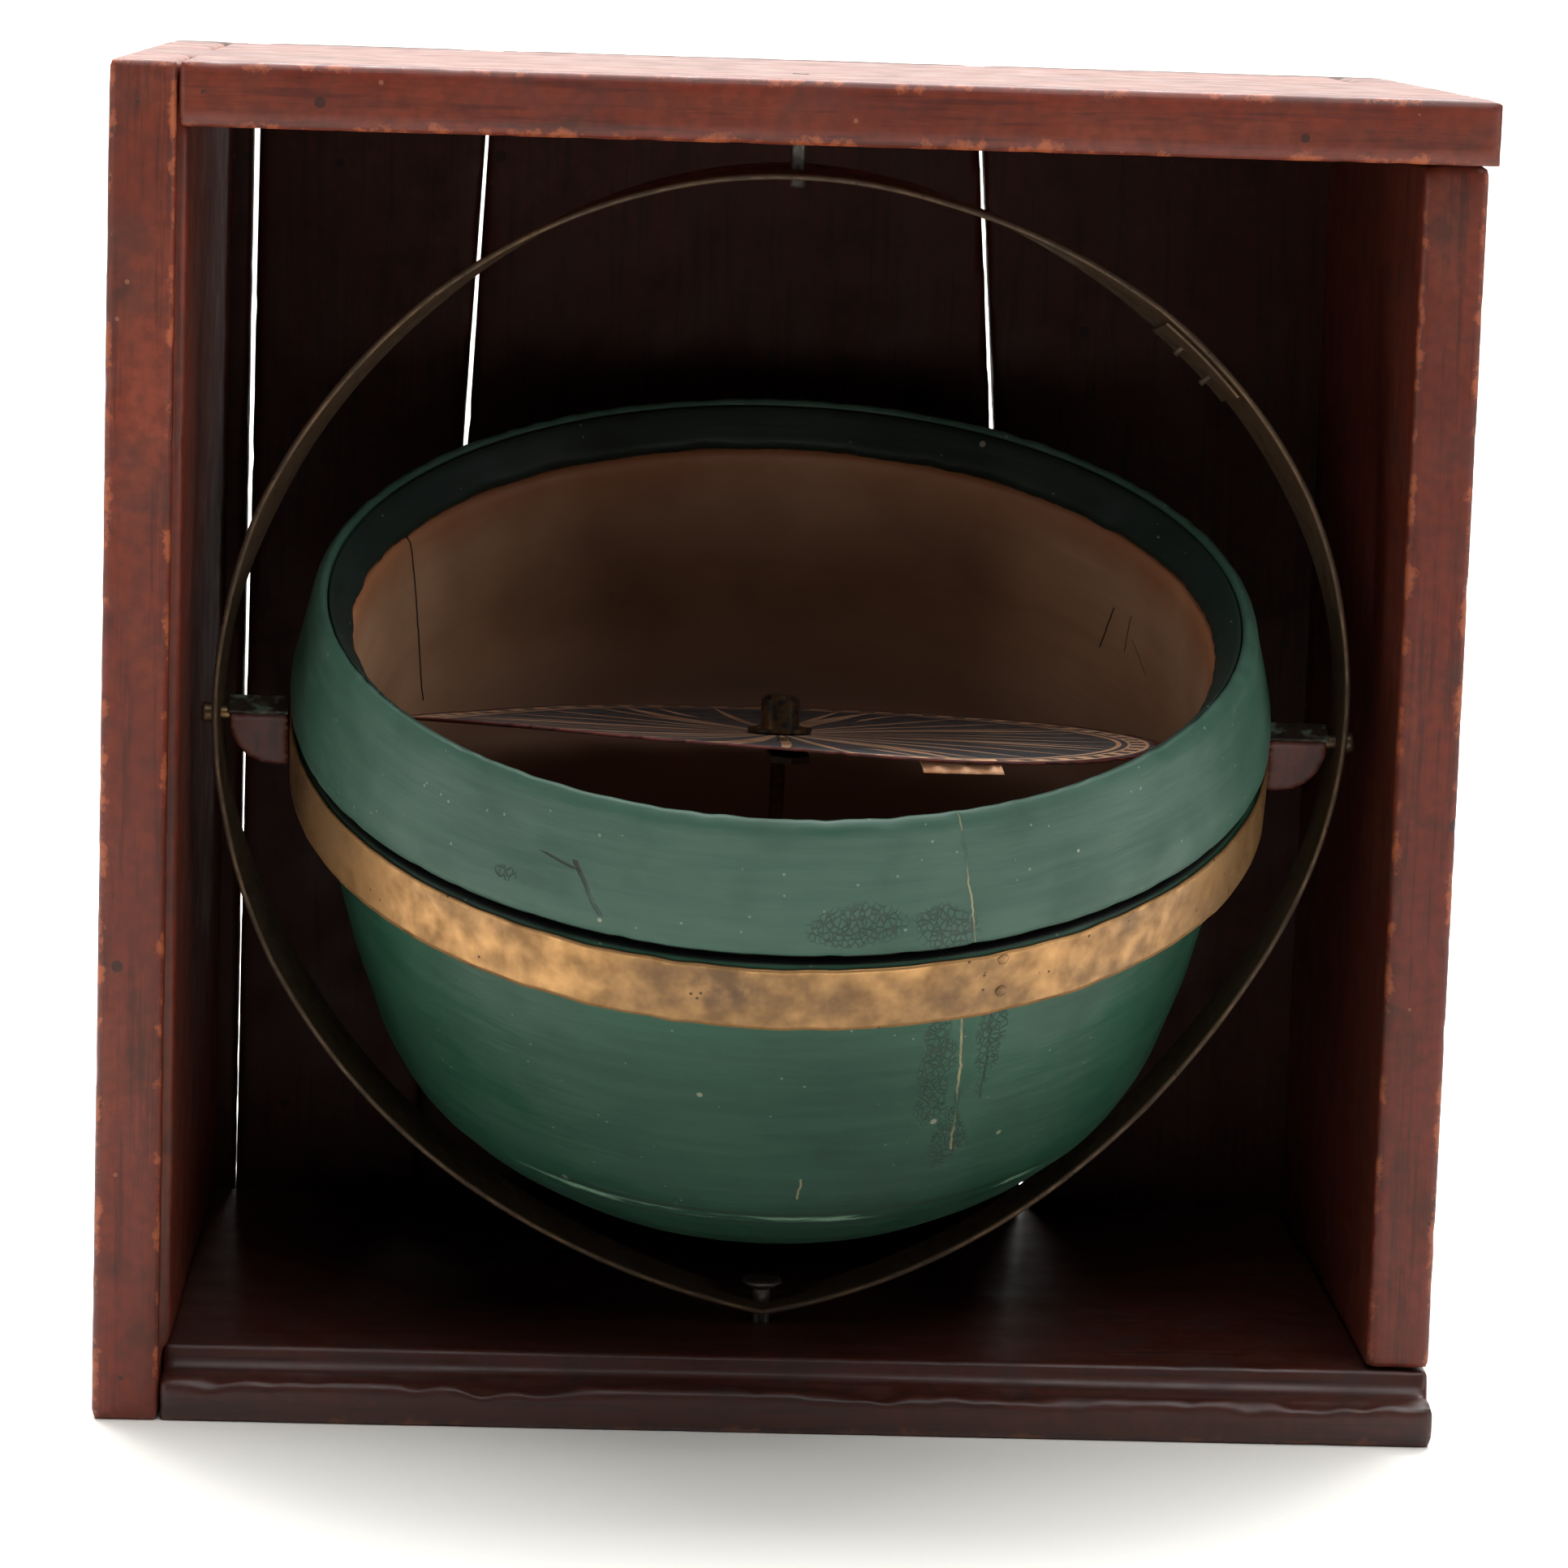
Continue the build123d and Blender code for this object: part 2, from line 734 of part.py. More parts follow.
# Turned brass cap over the jewel, with a flange on the card
with BuildPart() as card_cap:
    with BuildSketch(Plane.XZ):
        with BuildLine():
            Polyline(
                (cap_bore_radius, card_top),
                (cap_flange_radius, card_top),
                (cap_flange_radius, card_top + cap_flange_thickness),
                (cap_radius, card_top + cap_flange_thickness + 0.4),
                (cap_radius, card_top + cap_height - 0.8),
                (cap_radius - 0.8, card_top + cap_height),
                (0, card_top + cap_height),
                (0, card_top + cap_height - 1.2),
                (cap_bore_radius, card_top + cap_height - 1.2),
                close=True,
            )
        make_face()
    revolve(axis=upright)
    add(cap_jewel.part, mode=Mode.SUBTRACT)

save(card_disc.part.moved(card_pose), "card_disc")
save(compass_needle.part.moved(card_pose), "compass_needle")
save(needle_rivets.part.moved(card_pose), "needle_rivets")
save(cap_jewel.part.moved(card_pose), "cap_jewel")
save(card_cap.part.moved(card_pose), "card_cap")
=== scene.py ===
# %% [markdown]
# # A boat compass in its box
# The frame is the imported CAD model: a dovetailed box, a hand-bent ring, a leaning bowl and a card.
# This file dresses that frame. Shapes that are already right keep their CAD mesh and get a finish,
# and shapes that a hand has worn, twisted or painted are made again here at the same size.
# Everything is in metres, so a small constant turns millimetres into the scene's own unit.

import json
import math

import bmesh
import bpy
import numpy as np
from mathutils import Matrix, Vector, noise


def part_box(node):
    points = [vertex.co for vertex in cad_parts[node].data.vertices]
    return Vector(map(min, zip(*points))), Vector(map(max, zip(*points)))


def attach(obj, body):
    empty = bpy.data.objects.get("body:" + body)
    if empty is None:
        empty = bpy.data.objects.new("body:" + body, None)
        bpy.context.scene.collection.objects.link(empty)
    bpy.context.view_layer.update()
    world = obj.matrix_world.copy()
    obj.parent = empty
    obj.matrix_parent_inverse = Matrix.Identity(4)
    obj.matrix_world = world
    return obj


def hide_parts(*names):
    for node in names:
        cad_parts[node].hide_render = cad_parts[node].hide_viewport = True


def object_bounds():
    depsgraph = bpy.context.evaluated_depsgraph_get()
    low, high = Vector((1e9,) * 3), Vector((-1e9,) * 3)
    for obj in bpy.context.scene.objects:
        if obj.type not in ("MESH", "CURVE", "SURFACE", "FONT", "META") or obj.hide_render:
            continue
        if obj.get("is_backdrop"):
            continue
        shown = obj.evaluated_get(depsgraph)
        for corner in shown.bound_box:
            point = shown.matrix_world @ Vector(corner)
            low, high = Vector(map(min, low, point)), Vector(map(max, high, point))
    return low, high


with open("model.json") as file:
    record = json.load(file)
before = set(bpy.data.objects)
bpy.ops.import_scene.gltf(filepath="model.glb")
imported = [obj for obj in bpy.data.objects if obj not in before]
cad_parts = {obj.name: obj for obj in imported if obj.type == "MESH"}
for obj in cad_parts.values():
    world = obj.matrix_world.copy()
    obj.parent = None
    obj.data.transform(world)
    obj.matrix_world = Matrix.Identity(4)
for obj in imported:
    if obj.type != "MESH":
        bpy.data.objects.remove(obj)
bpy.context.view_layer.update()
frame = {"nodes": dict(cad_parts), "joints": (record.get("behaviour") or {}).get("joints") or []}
MM = 0.001

# %% [markdown]
# ## Where things turn
# The joints in the record say where the bowl and the card hang. Two small coordinate systems follow:
# one upright in the bowl, which leans towards the viewer, and one flat in the card. Working in them
# keeps every number simple, because a bowl is only radius, height and angle round its own axis.

# %% Axes of the bowl and the card
joints = {joint["name"]: joint for joint in frame["joints"]}
swing_point = Vector(joints["bowl_swing"]["pos_m"])
card_point = Vector(joints["card_spin"]["pos_m"])
card_normal = Vector(joints["card_spin"]["axis"])
BOWL_LEAN = math.radians(20)
CARD_LEAN = -math.atan2(card_normal.y, card_normal.z)
bowl_axes = Matrix.Translation(swing_point) @ Matrix.Rotation(BOWL_LEAN, 4, "X")
card_axes = Matrix.Translation(card_point) @ Matrix.Rotation(CARD_LEAN, 4, "X")
front_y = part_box("bottom_board")[0].y
print("swing point", [round(v / MM, 2) for v in swing_point], "card lean", round(math.degrees(CARD_LEAN), 2))

# %% [markdown]
# ## Camera
# The viewer stands about a metre away with a longish lens, a little above the box and a little to
# its left, and the picture is turned clockwise by a degree or two. Three angles say all of that.
# The axes are built by hand because the roll is easier to read that way than from Euler angles.

# %% Place the camera
YAW, PITCH, ROLL = math.radians(2.29), math.radians(8.83), math.radians(1.86)
CAMERA_PLACE = (-0.04035, -1.04734, 0.27904)
SENSOR_MM, LENS_MM = 36, 126.7
ahead = Vector((math.sin(YAW) * math.cos(PITCH), math.cos(YAW) * math.cos(PITCH), -math.sin(PITCH)))
level = Vector((math.cos(YAW), -math.sin(YAW), 0))
below = ahead.cross(level)
camera_x = math.cos(ROLL) * level - math.sin(ROLL) * below
camera_down = math.sin(ROLL) * level + math.cos(ROLL) * below
camera_data = bpy.data.cameras.new("studio_camera")
camera_data.sensor_width, camera_data.lens = SENSOR_MM, LENS_MM
camera_data.clip_start, camera_data.clip_end = 0.05, 60
camera = bpy.data.objects.new("studio_camera", camera_data)
bpy.context.scene.collection.objects.link(camera)
turn = Matrix((camera_x, -camera_down, -ahead)).transposed().to_4x4()
camera.matrix_world = Matrix.Translation(CAMERA_PLACE) @ turn
bpy.context.scene.camera = camera
print("camera", [round(v, 3) for v in camera.location], "lens", camera_data.lens)

# %% [markdown]
# ## Helpers for node trees
# Shader and geometry trees are long when each node takes five lines. One helper adds a node, sets
# its options and fills its inputs, and an input may be a plain value or another node's output.
# Colours are given as they look on a screen and turned into the linear values that shaders use.


# %% Node and colour helpers
def feed(tree, socket, value):
    """Links another node's output to a socket, or sets the socket's own value."""
    if isinstance(value, bpy.types.NodeSocket):
        tree.links.new(value, socket)
    else:
        socket.default_value = value


def add(tree, kind, inputs=None, **options):
    node = tree.nodes.new(kind)
    for key, value in options.items():
        setattr(node, key, value)
    for key, value in (inputs or {}).items():
        feed(tree, node.inputs[key], value)
    return node


def tint(red, green, blue):
    def linear(value):
        value /= 255
        return value / 12.92 if value <= 0.04045 else ((value + 0.055) / 1.055) ** 2.4

    return (linear(red), linear(green), linear(blue), 1.0)


def maths(tree, operation, first, second=0.0):
    """One Math node, and its output."""
    return add(tree, "ShaderNodeMath", {0: first, 1: second}, operation=operation).outputs[0]


def vectors(tree, operation, *terms):
    """One Vector Math node, and its output."""
    return add(tree, "ShaderNodeVectorMath", dict(enumerate(terms)), operation=operation).outputs[0]


def times(tree, first, second):
    return maths(tree, "MULTIPLY", first, second)


def plus(tree, first, second):
    return maths(tree, "ADD", first, second)


def minus(tree, first, second):
    return maths(tree, "SUBTRACT", first, second)


def apart_from(tree, value, middle):
    """How far value is from middle, either way."""
    return maths(tree, "ABSOLUTE", minus(tree, value, middle))


def mixed(tree, factor, first, second):
    """One colour Mix node, and its output."""
    node = add(tree, "ShaderNodeMix", {0: factor, 6: first, 7: second}, data_type="RGBA")
    return node.outputs[2]


def dab(tree, colour, mask, strength, paint):
    """Paint laid over a colour where a mask says, at some strength."""
    return mixed(tree, times(tree, mask, strength), colour, paint)


def darker(colour, share):
    return tuple(share * channel for channel in colour[:3]) + (1.0,)


def step(tree, value, low, high, out_low=0.0, out_high=1.0):
    """value between low and high, stretched to out_low and out_high."""
    ends = {"Value": value, "From Min": low, "From Max": high, "To Min": out_low, "To Max": out_high}
    return add(tree, "ShaderNodeMapRange", ends).outputs["Result"]


def object_place(tree):
    return add(tree, "ShaderNodeTexCoord").outputs["Object"]


def stretched(tree, place, scale):
    return add(tree, "ShaderNodeMapping", {"Vector": place, "Scale": scale}).outputs["Vector"]


def tipped(tree, place, angle):
    """A place turned about the X axis."""
    inputs = {"Vector": place, "Angle": angle}
    return add(tree, "ShaderNodeVectorRotate", inputs, rotation_type="X_AXIS").outputs[0]


def leaning_place(tree, origin, lean):
    """X, Y and Z measured from a point, in axes that lean by an angle."""
    moved = vectors(tree, "SUBTRACT", object_place(tree), tuple(origin))
    return add(tree, "ShaderNodeSeparateXYZ", {0: tipped(tree, moved, -lean)}).outputs


def length(tree, first, second):
    """How long a line is that goes so far one way and so far the other."""
    return maths(tree, "SQRT", plus(tree, times(tree, first, first), times(tree, second, second)))


def cloud_noise(tree, place, scale, **more):
    inputs = {"Vector": place, "Scale": scale} | more
    return add(tree, "ShaderNodeTexNoise", inputs).outputs["Fac"]


def new_group(name, takes, gives):
    """An empty shader group with named inputs (name, kind, default) and outputs (name, kind)."""
    group = bpy.data.node_groups.new(name, "ShaderNodeTree")
    for label, kind, default in takes:
        socket = group.interface.new_socket(label, in_out="INPUT", socket_type=f"NodeSocket{kind}")
        socket.default_value = default
    for label, kind in gives:
        group.interface.new_socket(label, in_out="OUTPUT", socket_type=f"NodeSocket{kind}")
    start = group.nodes.new("NodeGroupInput")
    end = group.nodes.new("NodeGroupOutput")
    return group, start.outputs, end.inputs


def use(tree, group, inputs=None):
    """A group placed in a tree with its own values."""
    node = tree.nodes.new("ShaderNodeGroup")
    node.node_tree = group
    for key, value in (inputs or {}).items():
        feed(tree, node.inputs[key], value)
    return node.outputs


def blotches(tree, place, scale, low, high):
    return use(tree, BLOTCHES, {"Vector": place, "Scale": scale, "Low": low, "High": high})


def specks(tree, scale, size, share):
    return use(tree, SPECKS, {"Scale": scale, "Size": size, "Share": share})["Mask"]


# %% [markdown]
# ## Effects that several finishes share
# Wear, blotches, fibres, fine dirt and drawn lines turn up on wood, paint and metal alike. Each is
# one node group with named inputs, built once, and every finish gives it its own numbers. A group
# only puts out masks and values, and the shader itself stays in the material.

# %% Group: blotches
group, into, out = new_group(
    "blotches",
    (
        ("Vector", "Vector", (0, 0, 0)), ("Scale", "Float", 60.0),
        ("Low", "Float", 0.45), ("High", "Float", 0.6),
    ),
    (("Mask", "Float"), ("Noise", "Float")),
)
cloud = cloud_noise(group, into["Vector"], into["Scale"], Detail=6.0)
group.links.new(cloud, out["Noise"])
group.links.new(step(group, cloud, into["Low"], into["High"]), out["Mask"])
BLOTCHES = group

# %% Group: wear on what stands out, darkening in what lies low
group, into, out = new_group(
    "rubbed_edges",
    (("Start", "Float", 0.1), ("Full", "Float", 0.4), ("Break Up", "Float", 180.0)),
    (("Worn", "Float"), ("Darkened", "Float")),
)
crown = add(group, "ShaderNodeAttribute", attribute_name="crown").outputs["Fac"]
ragged = cloud_noise(group, object_place(group), into["Break Up"], Detail=5.0)
standing = times(group, crown, step(group, ragged, 0.3, 0.7, 0.25, 1.5))
worn = step(group, standing, into["Start"], into["Full"])
darkened = step(group, standing, times(group, into["Start"], -1.0), times(group, into["Full"], -1.0))
group.links.new(worn, out["Worn"])
group.links.new(darkened, out["Darkened"])
RUBBED_EDGES = group

# %% Group: fibres that run along one direction
group, into, out = new_group(
    "fibres",
    (("Stretch", "Vector", (1, 1, 0.05)), ("Scale", "Float", 400.0)),
    (("Fine", "Float"), ("Broad", "Float")),
)
long_way = stretched(group, object_place(group), into["Stretch"])
fine = cloud_noise(group, long_way, into["Scale"], Detail=8.0, Roughness=0.65)
broad = cloud_noise(group, long_way, times(group, into["Scale"], 0.16), Detail=4.0, Distortion=0.8)
group.links.new(fine, out["Fine"])
group.links.new(broad, out["Broad"])
FIBRES = group

# %% Group: specks of dust and small chips
group, into, out = new_group(
    "specks",
    (("Scale", "Float", 500.0), ("Size", "Float", 0.12), ("Share", "Float", 0.62)),
    (("Mask", "Float"),),
)
cells = add(group, "ShaderNodeTexVoronoi", {"Vector": object_place(group), "Scale": into["Scale"]})
chosen = add(group, "ShaderNodeTexWhiteNoise", {"Vector": cells.outputs["Position"]}).outputs["Value"]
near = maths(group, "LESS_THAN", cells.outputs["Distance"], times(group, into["Size"], chosen))
picked = maths(group, "GREATER_THAN", chosen, into["Share"])
group.links.new(times(group, near, picked), out["Mask"])
SPECKS = group

# %% Group: angle and height round the bowl
# Angle 0 faces the viewer and grows to the right. Height runs along the turning axis.
group, into, out = new_group("round_the_bowl", (), (("Angle", "Float"), ("Height", "Float")))
apart = leaning_place(group, swing_point, BOWL_LEAN)
angle = maths(group, "ARCTAN2", apart["X"], times(group, apart["Y"], -1.0))
group.links.new(times(group, angle, 180 / math.pi), out["Angle"])
group.links.new(times(group, apart["Z"], 1 / MM), out["Height"])
ROUND_THE_BOWL = group

# %% Group: a wandering line between two points, for cracks and drawn marks
group, into, out = new_group(
    "drawn_line",
    (
        ("Angle", "Float", 0.0), ("Height", "Float", 0.0),
        ("From Angle", "Float", 0.0), ("From Height", "Float", 0.0),
        ("To Angle", "Float", 1.0), ("To Height", "Float", 1.0),
        ("Width", "Float", 0.5), ("Wander", "Float", 0.6),
    ),
    (("Mask", "Float"),),
)
DEGREE_MM = 1.55
ends = into["From Height"], into["To Height"]
along = step(group, into["Height"], *ends)
middle = step(group, into["Height"], *ends, into["From Angle"], into["To Angle"])
shake = add(
    group, "ShaderNodeTexNoise", {"W": into["Height"], "Scale": 0.35, "Detail": 4.0}, noise_dimensions="1D"
)
wander = times(group, minus(group, shake.outputs["Fac"], 0.5), into["Wander"])
off = minus(group, minus(group, into["Angle"], middle), wander)
far = times(group, maths(group, "ABSOLUTE", off), DEGREE_MM)
line = step(group, far, into["Width"], times(group, into["Width"], 0.4))
inside = times(group, maths(group, "GREATER_THAN", along, 0.0), maths(group, "LESS_THAN", along, 1.0))
group.links.new(times(group, line, inside), out["Mask"])
DRAWN_LINE = group
print("shared effects:", [g.name for g in bpy.data.node_groups])

# %% [markdown]
# ## Finish: a start that all materials share
# Each finish begins as an empty material with one Principled shader. The finish then sets plain
# numbers on the shader's own sockets and links only what changes over the surface.


# %% Start a finish
def start_finish(name, **sockets):
    material = bpy.data.materials.new(name)
    material.use_nodes = True
    tree = material.node_tree
    tree.nodes.clear()
    plain = {key.replace("_", " "): value for key, value in sockets.items()}
    shader = add(tree, "ShaderNodeBsdfPrincipled", plain)
    end = add(tree, "ShaderNodeOutputMaterial")
    tree.links.new(shader.outputs[0], end.inputs["Surface"])
    return material, tree, shader


def dress(tree, shader, colour, pattern, smooth, rough):
    """Links the colour, and a roughness that a noise pattern moves between two values."""
    tree.links.new(colour, shader.inputs["Base Color"])
    tree.links.new(step(tree, pattern, 0.3, 0.7, smooth, rough), shader.inputs["Roughness"])


def relief(tree, shader, height, strength, depth):
    """Small relief from a height value, in metres at full height."""
    bump = add(tree, "ShaderNodeBump", {"Height": height, "Strength": strength, "Distance": depth})
    tree.links.new(bump.outputs["Normal"], shader.inputs["Normal"])


# %% [markdown]
# ## Finish: stained and varnished boards
# The box is a plain close-grained wood under a red-brown stain and old varnish. Hands have darkened
# it in blotches and rubbed the edges back to a lighter orange. The grain is noise stretched along the
# board. The bright line along each edge is partly that wear and partly a painted highlight. It is
# thinner than the mesh is fine, so it is measured from the board's own box instead. Low places are
# painted darker, read from "crown", which says how low a point lies. Each board's stain is scaled
# darker by a share, partly its own tone and partly painted shade.


# %% Group: the thin line along a board's edges, part wear and part painted highlight
group, into, out = new_group(
    "edge_wear_and_highlight",
    (("Low", "Vector", (0, 0, 0)), ("High", "Vector", (0, 0, 0)), ("Width", "Float", 0.0017)),
    (("Line", "Float"),),
)
place = object_place(group)
from_low = vectors(group, "ABSOLUTE", vectors(group, "SUBTRACT", place, into["Low"]))
from_high = vectors(group, "ABSOLUTE", vectors(group, "SUBTRACT", into["High"], place))
apart = add(group, "ShaderNodeSeparateXYZ", {0: vectors(group, "MINIMUM", from_low, from_high)}).outputs
total = plus(group, plus(group, apart["X"], apart["Y"]), apart["Z"])
largest = maths(group, "MAXIMUM", maths(group, "MAXIMUM", apart["X"], apart["Y"]), apart["Z"])
two_nearest = minus(group, total, largest)
ragged = cloud_noise(group, place, 130.0, Detail=7.0, Roughness=0.7)
reach = times(group, into["Width"], step(group, ragged, 0.42, 0.7, 0.2, 1.8))
group.links.new(step(group, maths(group, "DIVIDE", two_nearest, reach), 1.0, 0.6), out["Line"])
EDGE_WEAR_AND_HIGHLIGHT = group


# %% Stained wood, with the grain along any axis
def stained_wood(name, stretch, tone_and_shade_share=1.0, node=None, lip=0.0, shine=0.3, coat=0.12):
    material, tree, shader = start_finish(
        name, Coat_Weight=coat, Coat_Roughness=0.25, Specular_IOR_Level=shine
    )
    place = object_place(tree)
    grain = use(tree, FIBRES, {"Stretch": stretch, "Scale": 620.0})
    cloudy = blotches(tree, place, 24.0, 0.38, 0.66)
    smudged = blotches(tree, place, 95.0, 0.54, 0.76)
    mottled = blotches(tree, place, 420.0, 0.4, 0.62)
    edges = use(tree, RUBBED_EDGES, {"Start": 0.3, "Full": 0.7, "Break Up": 150.0})
    dents = specks(tree, 120.0, 0.14, 0.88)
    nicks = specks(tree, 210.0, 0.1, 0.93)

    def shade(red, green, blue):
        return tint(red * tone_and_shade_share, green * tone_and_shade_share, blue * tone_and_shade_share)

    colour = mixed(tree, cloudy["Mask"], shade(102, 42, 27), shade(126, 57, 38))
    colour = mixed(tree, step(tree, grain["Broad"], 0.42, 0.6, 0.0, 0.7), colour, shade(116, 42, 25))
    colour = dab(tree, colour, mottled["Mask"], 0.45, shade(78, 34, 26))
    colour = mixed(tree, step(tree, grain["Fine"], 0.5, 0.38, 0.0, 0.55), colour, shade(58, 27, 21))
    colour = dab(tree, colour, smudged["Mask"], 0.7, shade(60, 38, 32))
    if node:
        low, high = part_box(node)
        # A light orange line along each edge: partly rubbed wear, partly a painted highlight.
        line = use(tree, EDGE_WEAR_AND_HIGHLIGHT, {"Low": tuple(low), "High": (high.x - lip, high.y, high.z)})["Line"]
        colour = dab(tree, colour, line, 0.7, shade(176, 92, 54))
    # Points that lie low are painted darker, near black.
    colour = dab(tree, colour, edges["Darkened"], 0.8, tint(26, 15, 12))
    colour = dab(tree, colour, dents, 0.75, shade(42, 30, 28))
    colour = dab(tree, colour, nicks, 0.5, shade(160, 104, 82))
    dress(tree, shader, colour, smudged["Noise"], 0.38, 0.58)
    height = plus(tree, times(tree, grain["Fine"], 0.6), times(tree, smudged["Noise"], 0.6))
    height = minus(tree, height, times(tree, dents, 0.9))
    relief(tree, shader, height, 0.3, 0.0004)
    return material


UPRIGHT_GRAIN, LEVEL_GRAIN = (1, 1, 0.05), (0.05, 1, 1)
# Each board is the same stain scaled by a share: partly the board's own tone, partly painted shade, darkest
# on the floor and the back planks deep inside the box.
WOOD_LEFT = stained_wood("stained_left_board", UPRIGHT_GRAIN, 0.98, "left_board", lip=1.5 * MM)
WOOD_RIGHT = stained_wood("stained_right_board", UPRIGHT_GRAIN, 0.88, "right_board")
WOOD_TOP = stained_wood("stained_top_board", LEVEL_GRAIN, 0.94, "top_board")
WOOD_FLOOR = stained_wood("stained_floor_board", LEVEL_GRAIN, 0.56, "bottom_board", shine=0.4, coat=0.14)
WOOD_BACK = stained_wood("stained_back_planks", UPRIGHT_GRAIN, 0.5, shine=0.12, coat=0.0)
print("wood finishes made")

# %% [markdown]
# ## Finish: old metal
# The ring, the pins and the nails are dull with age, while the hoop still shows yellow brass under
# brown stains. One function makes them all: a bright metal, a tarnish that covers part of it, and
# pits. Tarnish is not metal any more, so it lowers Metallic and raises Roughness where it lies.


# %% Tarnished metal
def tarnished(name, bright, brown, cover, rough, scale=60.0, stretch=(1, 1, 1), pitted=0.8):
    material, tree, shader = start_finish(name)
    place = object_place(tree)
    drawn = stretched(tree, place, stretch)
    film = blotches(tree, drawn, scale, 0.62 - cover * 0.4, 0.86 - cover * 0.4)
    mottle = blotches(tree, place, scale * 5, 0.48, 0.64)
    pits = specks(tree, 700.0, 0.22, pitted)
    edges = use(tree, RUBBED_EDGES, {"Start": 0.05, "Full": 0.25, "Break Up": 300.0})
    tarnish = times(tree, film["Mask"], step(tree, mottle["Noise"], 0.3, 0.6, 0.55, 1.0))
    tarnish = minus(tree, tarnish, times(tree, edges["Worn"], 0.6))
    tarnish = add(tree, "ShaderNodeClamp", {0: tarnish}).outputs[0]
    colour = mixed(tree, step(tree, mottle["Noise"], 0.3, 0.7), bright, darker(bright, 0.6))
    colour = mixed(tree, tarnish, colour, brown)
    colour = dab(tree, colour, pits, 0.7, tint(30, 24, 18))
    dress(tree, shader, colour, mottle["Noise"], rough, rough + 0.25)
    tree.links.new(step(tree, tarnish, 0.0, 1.0, 0.95, 0.35), shader.inputs["Metallic"])
    relief(tree, shader, minus(tree, mottle["Noise"], pits), 0.3, 0.0002)
    return material


RING_METAL = tarnished("ring_strip_metal", tint(120, 98, 76), tint(50, 38, 31), 0.85, 0.42)
HOOP_METAL = tarnished(
    "hoop_brass", tint(184, 142, 94), tint(92, 68, 46), 0.5, 0.36, 46.0, stretch=(0.5, 0.5, 1), pitted=0.96
)
PIVOT_METAL = tarnished("pivot_brass", tint(130, 104, 70), tint(54, 40, 30), 0.75, 0.32, 120.0)
STEEL = tarnished("pivot_steel", tint(112, 106, 100), tint(46, 38, 33), 0.8, 0.3, 200.0)
CAP_METAL = tarnished("cap_brass", tint(120, 88, 50), tint(22, 16, 12), 1.0, 0.16, 160.0)
IRON = tarnished("nail_iron", tint(96, 90, 84), tint(48, 34, 26), 0.85, 0.5, 200.0)
CAST_IRON = tarnished("cast_iron", tint(80, 78, 76), tint(50, 42, 36), 0.8, 0.6, 150.0)
print("metal finishes made")

# %% [markdown]
# ## Finish: green paint on the bowl
# The outside was brushed with thick green oil paint, sage on the collar and deeper below. Old paint
# shows brush marks that run round the bowl, a bloom of dust, small pale chips, a crack, and patches
# where it has crazed into scales. Those few places are set by angle and height round the bowl.

# %% Group: a patch of crazed paint
group, into, out = new_group(
    "crazed_patch",
    (
        ("Angle", "Float", 0.0), ("Height", "Float", 0.0),
        ("Middle Angle", "Float", 0.0), ("Middle Height", "Float", 0.0),
        ("Half Angle", "Float", 5.0), ("Half Height", "Float", 5.0), ("Scale", "Float", 600.0),
    ),
    (("Cracks", "Float"),),
)
place = object_place(group)
reach = []
for direction in ("Angle", "Height"):
    away = minus(group, into[direction], into[f"Middle {direction}"])
    share = maths(group, "DIVIDE", away, into[f"Half {direction}"])
    reach.append(times(group, share, share))
ragged = cloud_noise(group, place, 140.0, Detail=5.0)
distance = plus(group, plus(group, reach[0], reach[1]), times(group, ragged, 2.4))
patch = step(group, distance, 2.15, 1.7)
flakes = {"Vector": stretched(group, place, (1, 1, 0.75)), "Scale": into["Scale"]}
scales = add(group, "ShaderNodeTexVoronoi", flakes, feature="DISTANCE_TO_EDGE").outputs["Distance"]
group.links.new(times(group, step(group, scales, 0.14, 0.05), patch), out["Cracks"])
CRAZED_PATCH = group


# %% Brush marks and drawn lines for any paint
def brush_streaks(tree, place, share):
    """The place squeezed so that noise runs round the bowl in streaks."""
    level_way = add(tree, "ShaderNodeMapping", {"Vector": place, "Rotation": (-BOWL_LEAN, 0, 0)})
    return stretched(tree, level_way.outputs["Vector"], (share, share, 1))


def draw_line(tree, spot, low_angle, low_height, high_angle, high_height, width, **more):
    """The mask of one line on the bowl, from a low end to a high end."""
    return use(tree, DRAWN_LINE, {
        "Angle": spot["Angle"], "Height": spot["Height"], "Width": width,
        "From Angle": low_angle, "From Height": low_height,
        "To Angle": high_angle, "To Height": high_height,
    } | more)["Mask"]


